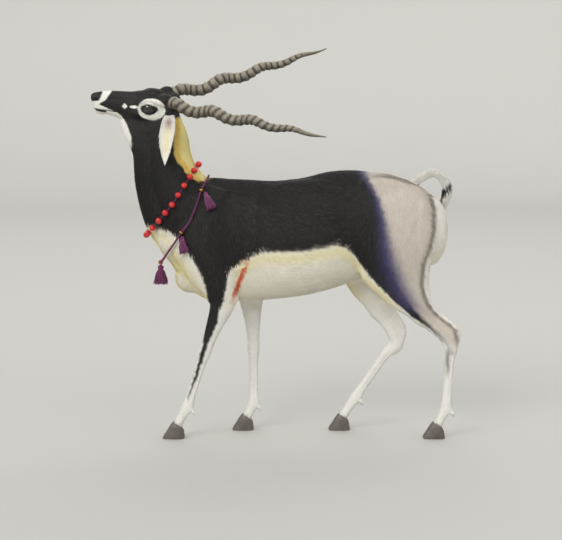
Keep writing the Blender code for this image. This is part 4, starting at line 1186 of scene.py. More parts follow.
@dataclass
class Skin:
    """One skin over head, neck, trunk and legs, with the muscles and the folds of the face."""

    voxel: float = 0.0030
    body_faces: int = 36000
    socket_fill: float = 0.0029

    body_strokes: tuple[Stroke, ...] = (
        Stroke(((-0.165, 0.09, 0.760), (-0.200, 0.10, 0.670), (-0.215, 0.11, 0.600)), 0.012, 0.0022),
        Stroke(((-0.095, 0.11, 0.700), (-0.100, 0.12, 0.600), (-0.115, 0.11, 0.500)), 0.017, -0.0032),
        Stroke(((-0.215, 0.08, 0.735), (-0.275, 0.085, 0.650), (-0.300, 0.08, 0.580)), 0.014, -0.0026),
        Stroke(((0.195, 0.11, 0.670), (0.230, 0.105, 0.590), (0.265, 0.10, 0.520)), 0.017, -0.0036),
        Stroke(((0.265, 0.08, 0.800), (0.292, 0.085, 0.790)), 0.016, 0.0032),
        Stroke(((0.425, 0.085, 0.730), (0.415, 0.10, 0.620), (0.430, 0.09, 0.520)), 0.010, -0.0024),
        Stroke(((0.300, 0.11, 0.700), (0.305, 0.12, 0.620), (0.330, 0.11, 0.540)), 0.020, 0.0024),
        Stroke(((-0.385, 0.04, 0.930), (-0.385, 0.05, 0.800), (-0.355, 0.06, 0.700)), 0.009, -0.0022),
        Stroke(((-0.335, 0.05, 0.940), (-0.325, 0.06, 0.830), (-0.280, 0.08, 0.720)), 0.014, 0.0018),
        Stroke(((-0.245, 0.09, 0.600), (-0.200, 0.10, 0.520), (-0.180, 0.10, 0.460)), 0.013, 0.0020),
    )
    face_strokes: tuple[Stroke, ...] = (
        Stroke(((0.074, 0.036, 0.040), (0.052, 0.038, 0.0475), (0.030, 0.036, 0.041)), 0.0026, -0.0011),
        Stroke(((0.074, 0.034, 0.046), (0.052, 0.036, 0.0550), (0.027, 0.034, 0.048)), 0.0060, 0.0016),
        Stroke(((0.072, 0.038, 0.012), (0.052, 0.042, 0.0085), (0.032, 0.041, 0.013)), 0.0026, -0.0009),
        Stroke(((0.082, 0.034, 0.022), (0.094, 0.0305, 0.017), (0.103, 0.0285, 0.011)), 0.0085, 0.0014),
        Stroke(((0.084, 0.034, 0.021), (0.094, 0.0305, 0.017), (0.102, 0.0285, 0.012)), 0.0021, -0.0030),
        Stroke(((0.028, 0.040, 0.006), (0.052, 0.042, 0.000), (0.078, 0.037, -0.003)), 0.0090, 0.0016),
        Stroke(((0.072, 0.034, -0.014), (0.064, 0.032, -0.026), (0.054, 0.028, -0.040)), 0.0075, -0.0018),
        Stroke(((0.105, 0.024, 0.046), (0.140, 0.020, 0.043), (0.175, 0.017, 0.041)), 0.0065, -0.0014),
        Stroke(((0.110, 0.026, 0.004), (0.140, 0.024, 0.006), (0.165, 0.023, 0.009)), 0.0090, -0.0010),
        Stroke(((0.010, 0.038, 0.030), (0.004, 0.040, 0.020)), 0.0100, -0.0018),
        Stroke(((0.211, 0.0165, 0.0445), (0.2075, 0.0185, 0.037), (0.2105, 0.0175, 0.030)), 0.0024, -0.0011),
        Stroke(((0.2160, 0.0150, 0.0445), (0.2265, 0.0085, 0.0415)), 0.0030, 0.0010),
        Stroke(((0.2145, 0.016, 0.0385), (0.2205, 0.0135, 0.035), (0.2275, 0.0085, 0.036)), 0.0021, -0.0042),
        Stroke(((0.165, 0.023, 0.0105), (0.190, 0.022, 0.0125), (0.214, 0.017, 0.0135)), 0.0045, 0.0010),
        Stroke(((0.170, 0.022, -0.0025), (0.190, 0.020, -0.0025), (0.210, 0.014, -0.0010)), 0.0040, 0.0008),
        Stroke(((0.2300, 0, 0.0330), (0.2290, 0, 0.0250), (0.2270, 0, 0.0165)), 0.0018, -0.0013, False),
    )
    lips: tuple[Spot, ...] = (
        (0.149, 0.0235, 0.0025),
        (0.170, 0.0230, 0.0040),
        (0.195, 0.0215, 0.0055),
        (0.215, 0.0165, 0.0064),
    )
    chin: Spot = (0.2265, 0.0, 0.0068)

    def mouth(self) -> Stroke:
        """The line between the lips, from one corner round the front to the other."""
        far_half = tuple((x, -y, z) for x, y, z in reversed(self.lips))
        return Stroke((*self.lips, self.chin, *far_half), 0.0017, -0.0030, False)

    def leg_strokes(self) -> list[Stroke]:
        """Grooves between bone and tendon, and the bones of the joints, on every leg."""
        strokes = []
        for leg in FORELEGS + HINDLEGS:
            joints = leg.points()
            upper, lower, foot = joints[-3], joints[-2], joints[-1]
            back = np.array((0.0065, 0, 0))
            for out in (-0.02, 0.02):
                aside = np.array((0, out, 0))
                groove = [upper + (lower - upper) * s + back + aside for s in (0.18, 0.5, 0.82)]
                strokes.append(Stroke(tuple(map(tuple, groove)), 0.0036, -0.0016, False))
            front = np.array((-0.02, 0, 0))
            ridge = [upper + (lower - upper) * s + front for s in (0.15, 0.5, 0.85)]
            strokes.append(Stroke(tuple(map(tuple, ridge)), 0.0050, 0.0009, False))
            pastern = [lower + (foot - lower) * s - front for s in (0.45, 0.85)]
            strokes.append(Stroke(tuple(map(tuple, pastern)), 0.0055, -0.0014, False))
        return strokes

    def build(self) -> Piece:
        """Builds and dresses the skin.

        Returns:
            The skin, still about the middle plane, for the fur to grow on.
        """
        item = self.closed_flesh()
        self.fill_sockets(item)
        apply_modifier(item, "REMESH", mode="VOXEL", voxel_size=self.voxel)
        apply_modifier(item, "SMOOTH", factor=0.5, iterations=7)
        self.thin_body(item)
        self.refine_head(item)
        self.press(item, (*self.body_strokes, *self.leg_strokes()), False)
        self.press(item, (*self.face_strokes, self.mouth()), True)
        self.open_eyes(item)
        self.sink(item)
        paint(item, MARKINGS.coat(points_of(item.data), normals_of(item.data)))
        return dress(item, SKIN_FINISH)

    def closed_flesh(self) -> Piece:
        """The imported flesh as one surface, without the faces of the cuts that part it.

        Returns:
            The surface, about the middle plane.
        """
        copies = [free_copy(FRAME["nodes"][name]) for name in FLESH]
        trees = [tree_of(copy.data) for copy in copies]
        gap, opposite = 0.0006, -0.9
        for copy, own in zip(copies, trees):
            others = [tree for tree in trees if tree is not own]
            for face in copy.data.polygons:
                hits = (tree.find_nearest(face.center, gap) for tree in others)
                touching = (hit[1].dot(face.normal) for hit in hits if hit[0] is not None)
                face.select = any(facing < opposite for facing in touching)
            self.delete_selected_faces(copy)
        item = joined("skin", copies)
        in_edit_mode(
            item,
            lambda: bpy.ops.mesh.select_all(action="DESELECT"),
            lambda: bpy.ops.mesh.select_non_manifold(extend=False),
            lambda: bpy.ops.mesh.remove_doubles(threshold=0.0008),
            lambda: bpy.ops.mesh.select_all(action="SELECT"),
            lambda: bpy.ops.mesh.fill_holes(sides=6),
            lambda: bpy.ops.mesh.normals_make_consistent(inside=False),
        )
        apply_modifier(item, "SUBSURF", levels=1, render_levels=1)
        return item

    def delete_selected_faces(self, item: Piece) -> None:
        """Deletes the faces that are flagged on a mesh."""
        for edge in item.data.edges:
            edge.select = False
        for vertex in item.data.vertices:
            vertex.select = False
        for face in item.data.polygons:
            if face.select:
                for index in face.vertices:
                    item.data.vertices[index].select = True
        select([item])
        bpy.context.tool_settings.mesh_select_mode = (False, False, True)
        bpy.ops.object.mode_set(mode="EDIT")
        bpy.ops.mesh.delete(type="FACE")
        bpy.ops.object.mode_set(mode="OBJECT")
        bpy.context.tool_settings.mesh_select_mode = (True, False, False)

    def fill_sockets(self, item: Piece) -> None:
        """Fills the eye sockets to the outside of the lids."""
        fills = []
        for side in Side:
            fill = round_ball(40, 24, EYES.radius + self.socket_fill)
            fill.data.transform(EYES.frame(side))
            fills.append(fill)
        joined("skin", [item, *fills])

    def thin_body(self, item: Piece) -> None:
        """Thins the faces behind the head, so that the head can have more."""
        points = points_of(item.data)
        behind = np.flatnonzero(~self.head_zone(points))
        group = item.vertex_groups.new(name="behind")
        group.add(behind.tolist(), 1.0, "REPLACE")
        total = len(item.data.polygons)
        head_faces = total * (1 - len(behind) / len(points))
        ratio = min(1.0, (head_faces + self.body_faces) / total)
        apply_modifier(item, "DECIMATE", ratio=ratio, vertex_group=group.name)
        item.vertex_groups.clear()

    def head_zone(self, points: Rows) -> Rows:
        """Which points belong to the head and keep the finest faces."""
        place = to_head(points)
        return (place[:, 0] > -0.045) & (place[:, 2] > -0.075)

    def refine_head(self, item: Piece) -> None:
        """Splits each face of the head in four and eases the result."""
        flags = self.head_zone(points_of(item.data))
        select([item])
        bpy.ops.object.mode_set(mode="EDIT")
        bpy.ops.mesh.select_all(action="DESELECT")
        bpy.ops.object.mode_set(mode="OBJECT")
        item.data.vertices.foreach_set("select", flags)
        bpy.ops.object.mode_set(mode="EDIT")
        bpy.ops.mesh.subdivide(number_cuts=1)
        bpy.ops.mesh.vertices_smooth(factor=0.5, repeat=3)
        bpy.ops.object.mode_set(mode="OBJECT")

    def press(self, item: Piece, strokes: Sequence[Stroke], in_head: bool) -> None:
        """Moves the skin in or out along each stroke's line, traced on it.

        Args:
            item: The skin.
            strokes: The passes of the tool.
            in_head: Whether the lines are in the head's frame.
        """
        points, normals = points_of(item.data), normals_of(item.data)
        tree = tree_of(item.data)
        for stroke in strokes:
            for flip in (1, -1) if stroke.both_sides else (1,):
                line = smooth_run(stroke.line, 8) * np.array((1, flip, 1))
                if in_head:
                    line = from_head(line)
                line = np.array([tree.find_nearest(Vector(p))[0] for p in line])
                reach = 2.2 * stroke.half_width
                near = np.all((points > line.min(0) - reach) & (points < line.max(0) + reach), axis=1)
                near = np.flatnonzero(near)
                ways = np.diff(line, axis=0)
                offsets = points[near][:, None] - line[:-1][None]
                share = np.sum(offsets * ways, axis=2) / np.maximum(np.sum(ways * ways, axis=1), 1e-12)
                closest = offsets - np.clip(share, 0, 1)[:, :, None] * ways
                away = np.linalg.norm(closest, axis=2).min(axis=1)
                points[near] += normals[near] * (stroke.lift * bell(away, stroke.half_width))[:, None]
        set_points(item.data, points)

    def open_eyes(self, item: Piece) -> None:
        """Cuts the lids open, with the hollow for each eyeball behind them."""
        for side in Side:
            for cutter in EYES.cutters(side):
                apply_modifier(item, "BOOLEAN", operation="DIFFERENCE", solver="MANIFOLD", object=cutter)
                bpy.data.objects.remove(cutter)

    def sink(self, item: Piece) -> None:
        """Sinks the skin under the depth of the coat, least on the face and the feet."""
        points, normals = points_of(item.data), normals_of(item.data)
        low = np.interp(points[:, 2], (0.05, 0.25, 0.50), (0.0005, 0.0007, 0.0018))
        high = np.interp(past_joint(points), (-0.06, 0.03), (0.0018, 0.0003))
        depth = np.where(points[:, 2] > HEAD_HEIGHT, high, low)
        set_points(item.data, points - normals * depth[:, None])


@dataclass(frozen=True)
class Horns:
    """Two ringed corkscrew horns with smooth tips."""

    run: float = 0.575
    base_radius: float = 0.0195
    base: Spot = (0.013, 0.0280, 0.0455)
    spread: float = math.radians(31)
    rise: float = math.radians(6.4)
    dip: float = math.radians(9)
    coil: float = 0.0092
    turns: float = 4.07
    start: float = 2.63
    rings: int = 22
    smooth_from: float = 0.84
    slant: float = 0.20
    steps: int = 700
    sides: int = 28
    # The tone painted on the lit ridge crests, and the painted shade in the grooves and on the underside.
    light: Tone = tone(152, 143, 124)
    dark: Tone = tone(54, 52, 47)

    def line(self, side: Side) -> Rows:
        """The horn's corkscrew line in the head's frame."""
        y = -side.value
        here = np.array(self.base) * (1, y, 1)
        line = []
        for share in np.arange(self.steps + 1) / self.steps:
            rise = self.rise - self.dip * math.exp(-share / 0.11)
            spread = self.spread * (1 - 0.55 * math.exp(-share / 0.08))
            level = math.cos(rise)
            way = np.array((-math.cos(spread) * level, y * math.sin(spread) * level, math.sin(rise)))
            across = unit(np.cross(way, (0, 0, 1)))
            over = np.cross(across, way)
            radius = self.coil * min(1.0, share / 0.10) * (1 - share) ** 0.54
            turn = math.tau * self.turns * share + self.start
            line.append(here + (across * y * math.cos(turn) - over * math.sin(turn)) * radius)
            here = here + way * self.run / self.steps
        return np.array(line)

    def build(self) -> None:
        """Builds, dresses and seats both horns."""
        for side in Side:
            seat(self.horn(side), "horn", f"horn_{side.word}")

    def horn(self, side: Side) -> Piece:
        """One horn: slanted rings from the base up, and a smooth tip.

        Args:
            side: Which horn it is.

        Returns:
            The horn, dressed.
        """
        line = self.line(side)
        share = np.linspace(0, 1, len(line))[:, None]
        _, across, over = frames_along(line, (0, 0, 1))
        turns = turns_round(self.sides)
        crest, ringed = self.ridges(share, turns[None] * -side.value)
        swell = 0.92 + ringed * (0.17 * crest - 0.085)
        sunk_root = np.interp(share, (0.0, 0.022), (0.60, 1.0))
        radius = self.base_radius * (1 - 0.92 * share**2.8) * swell * sunk_root
        rings = section(line, across, over, turns) - line[:, None]
        item = swept(f"horn_fine_{side.word}", line[:, None] + rings * radius[:, :, None])
        points = points_of(item.data)
        axis = self.nearest(points, line)
        offset = points - line[axis]
        around = np.arctan2(np.sum(offset * over[axis], 1), np.sum(offset * across[axis], 1))
        crest, ringed = self.ridges(share[axis, 0], around * -side.value)
        item.data.transform(HEAD)
        facing = normals_of(item.data)[:, 2]
        # Painted light and shade: the ridge crests are painted light, the grooves between them dark as
        # shade, the smooth tip between the two, and the underside darker as shade; the ripple is the horn's
        # own uneven tone.
        light = np.clip(0.05 + 0.90 * soft(crest - 0.30, 0.22) * ringed + 0.60 * (1 - ringed), 0, 1)
        light *= 0.35 + 0.65 * soft(facing + 0.15, 0.5)
        light = np.clip(light + 0.08 * ripple(points, 0.02, 31), 0, 1)
        paint(item, blend_tones(np.tile(self.dark, (len(points), 1)), self.light, light))
        return dress(item, HORN_FINISH)

    def ridges(self, share: Rows, around: Rows) -> tuple[Rows, Rows]:
        """The height of the slanted ridges at places on the horn, and how far they show there."""
        wave = share / self.smooth_from * self.rings + self.slant * np.cos(around - 0.8)
        step = wave % 1
        crest = np.minimum((step / 0.72) ** 1.3, (1 - step) / 0.28)
        return crest, 1 - soft(share - self.smooth_from, 0.06)

    def nearest(self, points: Rows, line: Rows) -> Rows:
        """The index of the horn's line that each point lies nearest to."""
        skip = 4
        coarse = line[::skip]
        return np.array([np.argmin(np.sum((coarse - p) ** 2, axis=1)) * skip for p in points])


@dataclass(frozen=True)
class Ears:
    """Two long leaf-shaped ears that hang down and out, with a hollow cup."""

    length: float = 0.158
    half_width: float = 0.0225
    root: Spot = (-0.012, 0.043, 0.012)

    def build(self) -> None:
        """Builds, dresses and seats both ears and their fringes."""
        for side in Side:
            item = self.leaf(side)
            self.fur(item, side)
            seat(item, "coat_white", f"ear_{side.word}")

    def ways(self, side: Side) -> tuple[Rows, Rows, Rows, Rows]:
        """The ear's root, and its ways down, out of the cup and across, in the head's frame."""
        y = -side.value
        root = np.array(self.root) * (1, y, 1)
        down = unit(np.array((0.03, y * 0.69, -0.72)))
        out = np.array((0.16, y, 0.55))
        out = unit(out - down * (out @ down))
        return root, down, out, np.cross(down, out)

    def leaf(self, side: Side) -> Piece:
        """The ear's two walls as one closed sheet, with ridges down the cup.

        Args:
            side: Which ear it is.

        Returns:
            The ear, dressed.
        """
        root, down, out, across = self.ways(side)
        arc = 17
        rings = []
        for share in np.linspace(0, 1, 54) ** 1.15:
            centre = root + down * self.length * share + out * 0.016 * math.sin(math.pi * share)
            leaf = max(0.06, math.sin(math.pi * min(1.0, 0.14 + 0.86 * share) ** 0.85) ** 0.75)
            width = self.half_width * leaf
            cup = 0.0130 * leaf * (1 - 0.45 * share)
            wall = min(0.0022 - 0.0010 * share, 0.4 * width)
            solid = max(0.0, 1 - share / 0.18)
            turn = math.pi * np.arange(arc) / (arc - 1)
            wide, deep = -np.cos(turn), np.sin(turn)
            ridge = 0.0007 * np.cos(3 * math.pi * wide) * leaf * (1 - solid)
            inner = (cup * deep - wall - ridge) * (1 - solid) - solid * cup * deep * 0.6
            hollow = np.maximum(-0.6 * cup, inner)
            back = centre + across * (width * wide)[:, None] - out * (cup * deep)[:, None]
            front = centre + across * ((width - wall) * wide)[:, None] - out * hollow[:, None]
            rings.append(np.vstack([back, front[::-1]]))
        item = swept(f"ear_fine_{side.word}", np.array(rings))
        item.data.transform(HEAD)
        paint(item, self.tones(side, points_of(item.data), normals_of(item.data)))
        return dress(item, SKIN_FINISH)

    def tones(self, side: Side, points: Rows, normals: Rows) -> Rows:
        """Colours over the ear from how far down, how far across and which way a place faces."""
        root, down, out, across = self.ways(side)
        place = to_head(points) - root
        share = place @ down / self.length
        facing = soft((normals @ HEAD_TURN) @ out, 0.25)
        return MARKINGS.ear(points, facing, share, place @ across / self.half_width)

    def fur(self, item: Piece, side: Side) -> None:
        """Fine fur on both walls, and longer hair in the cup.

        Args:
            item: The ear that it grows on, not yet seated.
            side: Which ear it is.
        """
        root, down, out, across = self.ways(side)
        roots, normals = sow(item, 0.0019, 41 + side.value, lambda centres: np.ones(len(centres), bool))
        place = to_head(roots) - root
        share = place @ down / self.length
        edge = np.abs(place @ across) / self.half_width
        way = unit(down + 0.35 * across * np.sign(place @ across)[:, None] * edge[:, None])
        ways = flat_on(normals, way @ HEAD_TURN.T)
        keep = share > -0.02
        draw = np.random.default_rng(43 + side.value)
        cut = Cut(0, 0.0065, 0.0010, stand=0.12, segments=1, sink=0.0002)
        tones = self.tones(side, roots, normals)
        short = blades(
            f"ear_fur_{side.word}", roots[keep], ways[keep], normals[keep], tones[keep], cut, draw
        )
        inner = ((normals @ HEAD_TURN) @ out > 0.2) & (share > 0.08) & (share < 0.82)
        chosen = np.flatnonzero(inner & (draw.random(len(roots)) < 0.12))
        long_cut = Cut(0, 0.014, 0.0011, stand=0.06, segments=3, sink=0.0002)
        long = blades(
            "ear_hair", roots[chosen], ways[chosen], normals[chosen], tones[chosen], long_cut, draw
        )
        made = joined(f"ear_fur_{side.word}", [short, long])
        seat(dress(made, TUFT_FINISH), "coat_white")


@dataclass(frozen=True)
class Tail:
    """The short tail, curled up and over, white with a black stroke."""

    stroke: Border = Border(
        (0.700, 0.714, 0.730, 0.746, 0.764, 0.784, 0.801),
        (0.517, 0.512, 0.508, 0.506, 0.509, 0.520, 0.528),
    )
    stroke_half: float = 0.0070
    stroke_top: float = 0.802

    def build(self) -> None:
        """Builds, dresses and seats the tail's core and its locks."""
        run = smooth_run(TAIL_RUN, 8)
        centres = run[:, :3]
        _, across, over = frames_along(centres, (0, 1, 0))
        turns = turns_round(20)
        thin = 0.74
        rings = section(centres, across * run[:, 3:4] * thin, over * run[:, 4:5] * thin, turns)
        core = swept("tail_core", rings)
        roots, normals = sow(core, 0.0019, 51, lambda c: c[:, 0] > 0.405)
        nearest = np.array([np.argmin(np.sum((centres - p) ** 2, axis=1)) for p in roots])
        ahead = unit(np.gradient(centres, axis=0))[nearest]
        ways = flat_on(normals, ahead)
        draw = np.random.default_rng(53)
        cut = Cut(0, 0.025, 0.0022, stand=0.30, segments=6, droop=0.10, sway=0.08, round=0)
        grade = np.interp(nearest / len(centres), (0.0, 0.10, 0.35, 0.60), (0.30, 0.55, 0.80, 1.0))
        locks = blades("tail_locks", roots, ways, normals, self.tones(roots), cut, draw, grade)
        places = points_of(locks.data)
        paint(locks, self.tones(places) * (0.96 + 0.05 * ripple(places, 0.012, 10))[:, None])
        paint(core, self.tones(points_of(core.data)))
        seat(dress(core, SKIN_FINISH), "coat_white", "tail")
        seat(dress(locks, TUFT_FINISH), "coat_white")

    def tones(self, points: Rows) -> Rows:
        """White, with a black stroke down the hanging half."""
        x, _, z = points.T
        colour = np.tile(MARKINGS.tones.white, (len(points), 1))
        black = soft(self.stroke_half - np.abs(x - self.stroke.at(z)), 0.003)
        black = black * soft(self.stroke_top - z, 0.004)
        return blend_tones(colour, MARKINGS.tones.black, black)


@dataclass(frozen=True)
class Hooves:
    """Eight pointed claws, flat below, with growth rings."""

    half_width: float = 0.0116
    toe_out: float = math.radians(4)
    levels: tuple[tuple[float, ...], ...] = (
        (0.0, 0.0470, 0.0190, 1.00),
        (0.005, 0.0450, 0.0200, 1.02),
        (0.018, 0.0345, 0.0188, 0.97),
        (0.032, 0.0235, 0.0170, 0.90),
        (0.040, 0.0150, 0.0140, 0.70),
    )

    def build(self) -> None:
        """Builds, dresses and seats every claw."""
        for leg in FORELEGS + HINDLEGS:
            for claw, where in ((-leg.side.value, "inner"), (leg.side.value, "outer")):
                item = self.claw(leg, claw)
                item.name = f"claw_{leg.name}_{where}"
                seat(dress(item, HOOF_FINISH), "hoof", f"hoof_{leg.name}_{where}")

    def claw(self, leg: Leg, claw: int) -> Piece:
        """One claw from the sole up to its crown under the hair."""
        crown = leg.points()[-1]
        place = Matrix.Translation((crown[0] + 0.004, crown[1] + claw * (self.half_width + 0.0012), 0))
        place = place @ Matrix.Rotation(math.pi - self.toe_out * claw, 4, "Z")
        turns = turns_round(36)
        rings = []
        for i, (height, front, back, wide) in enumerate(smooth_run(self.levels, 6)):
            growth = 1 + 0.012 * math.sin(i * 1.9) * (i > 2)
            reach = np.where(np.cos(turns) > 0, front, back) * growth
            taper = 1 - 0.45 * np.maximum(0.0, np.cos(turns)) ** 2
            slope = 0.010 * np.cos(turns) * (height / 0.04)
            across = self.half_width * wide * np.sin(turns) * taper * growth
            rings.append(np.stack([reach * np.cos(turns), across, height + slope], 1))
        rings = np.array(rings)
        rings[:, :, 2] = np.maximum(rings[:, :, 2], 0)
        item = swept("claw", rings)
        item.data.transform(place)
        return item


@dataclass(frozen=True)
class NeckLine:
    """A closed line round the neck, in a plane that bends at the sides."""

    centre: Spot
    up: Spot
    down: Spot

    def route(self, tree: BVHTree, lifts: Sequence[float], clearance: float) -> Rows:
        """Points round the neck, lifted off the skin.

        Args:
            tree: The skin's search tree.
            lifts: How far each point stands off.
            clearance: The least that the middle of each stretch stands off.

        Returns:
            The points as rows.
        """
        centre, up, down = Vector(self.centre), Vector(self.up), Vector(self.down)
        touches = []
        for i in range(len(lifts)):
            turn = math.tau * i / len(lifts)
            rise = up if math.cos(turn) >= 0 else -down
            way = (rise * math.cos(turn) + Vector((0, -1, 0)) * math.sin(turn)).normalized()
            touches.append(tree.ray_cast(centre + way * 0.6, -way)[:2])
        count = len(lifts)
        points = []
        for i, lift in enumerate(lifts):
            normal = sum((touches[(i + k) % count][1] for k in (-2, -1, 0, 1, 2)), Vector()).normalized()
            points.append(touches[i][0] + normal * lift)
        rounds = 8
        for _ in range(rounds):
            for i, point in enumerate(points):
                before = points[i - 1]
                middle = (before + point) / 2
                near, normal = tree.find_nearest(middle)[:2]
                short = clearance - (middle - near).dot(normal)
                if short > 0:
                    points[i - 1] = before + normal * short * 0.6
                    points[i] = point + normal * short * 0.6
        return np.array(points)


def rows_at(wanted: Rows, places: Rows, rows: Rows) -> Rows:
    """Rows read off between the rows that are known at some places."""
    return np.stack([np.interp(wanted, places, rows[:, k]) for k in range(3)], 1)


def even_loop(points: Rows, count: int) -> Rows:
    """Points spaced evenly round a closed line."""
    ring = np.vstack([points, points[:1]])
    lengths = np.concatenate([[0], np.cumsum(np.linalg.norm(np.diff(ring, axis=0), axis=1))])
    wanted = np.arange(count) * lengths[-1] / count
    return rows_at(wanted, lengths, ring)


def smooth_loop(points: Rows, rounds: int) -> Rows:
    """A closed line eased towards its own neighbours' middles."""
    for _ in range(rounds):
        points = 0.5 * points + 0.25 * (np.roll(points, 1, 0) + np.roll(points, -1, 0))
    return points


@dataclass(frozen=True)
class Beads:
    """A string of round red beads that hangs round the neck."""

    radius: float = 0.0097
    count: int = 21
    thread_radius: float = 0.0012
    line: NeckLine = NeckLine((-0.318, 0, 0.717), (0.505, 0, 0.863), (-0.645, 0, -0.764))

    def build(self, tree: BVHTree) -> None:
        """Builds, dresses and seats the beads and their thread.

        Args:
            tree: The flesh's search tree.
        """
        rough = self.line.route(tree, [self.radius + 0.0008] * 120, self.radius + 0.0006)
        per_bead = 24
        dense = even_loop(rough, self.count * per_bead)
        eased = smooth_loop(dense, 12)
        bead = self.bead()
        draw = np.random.default_rng(61)
        beads = []
        for k in range(self.count):
            here = k * per_bead + per_bead // 2
            ahead = Vector(eased[(here + 3) % len(eased)] - eased[here - 3]).normalized()
            turn = ahead.to_track_quat("Z", "Y").to_matrix().to_4x4()
            spin = Matrix.Rotation(draw.uniform(0, math.tau), 4, "Z")
            size = Matrix.Diagonal((*(draw.uniform(0.95, 1.03) for _ in range(3)), 1))
            copy = placed("bead", bead.data.copy())
            copy.data.transform(Matrix.Translation(dense[here]) @ turn @ spin @ size)
            beads.append(copy)
        bpy.data.objects.remove(bead)
        thread = self.thread(eased)
        made = dress(joined("beads", beads), BEAD_FINISH)
        seat(made, "bead", "bead_string")
        seat(dress(thread, PURPLE_FINISH), "cord")

    def bead(self) -> Piece:
        """One bead along Z, a little flattened at both ends of that axis."""
        item = round_ball(28, 20, self.radius)
        points = points_of(item.data)
        reach = np.hypot(points[:, 0], points[:, 1])
        points[:, 2] *= 0.96 - 0.30 * bell(reach, 0.0026)
        set_points(item.data, points)
        return item

    def thread(self, line: Rows) -> Piece:
        """The thread through the beads."""
        closed = np.vstack([line[::4], line[:1]])
        across, over = (way * self.thread_radius for way in closed_frames(closed))
        return swept("bead_thread", section(closed, across, over, turns_round(8)), filled=False)


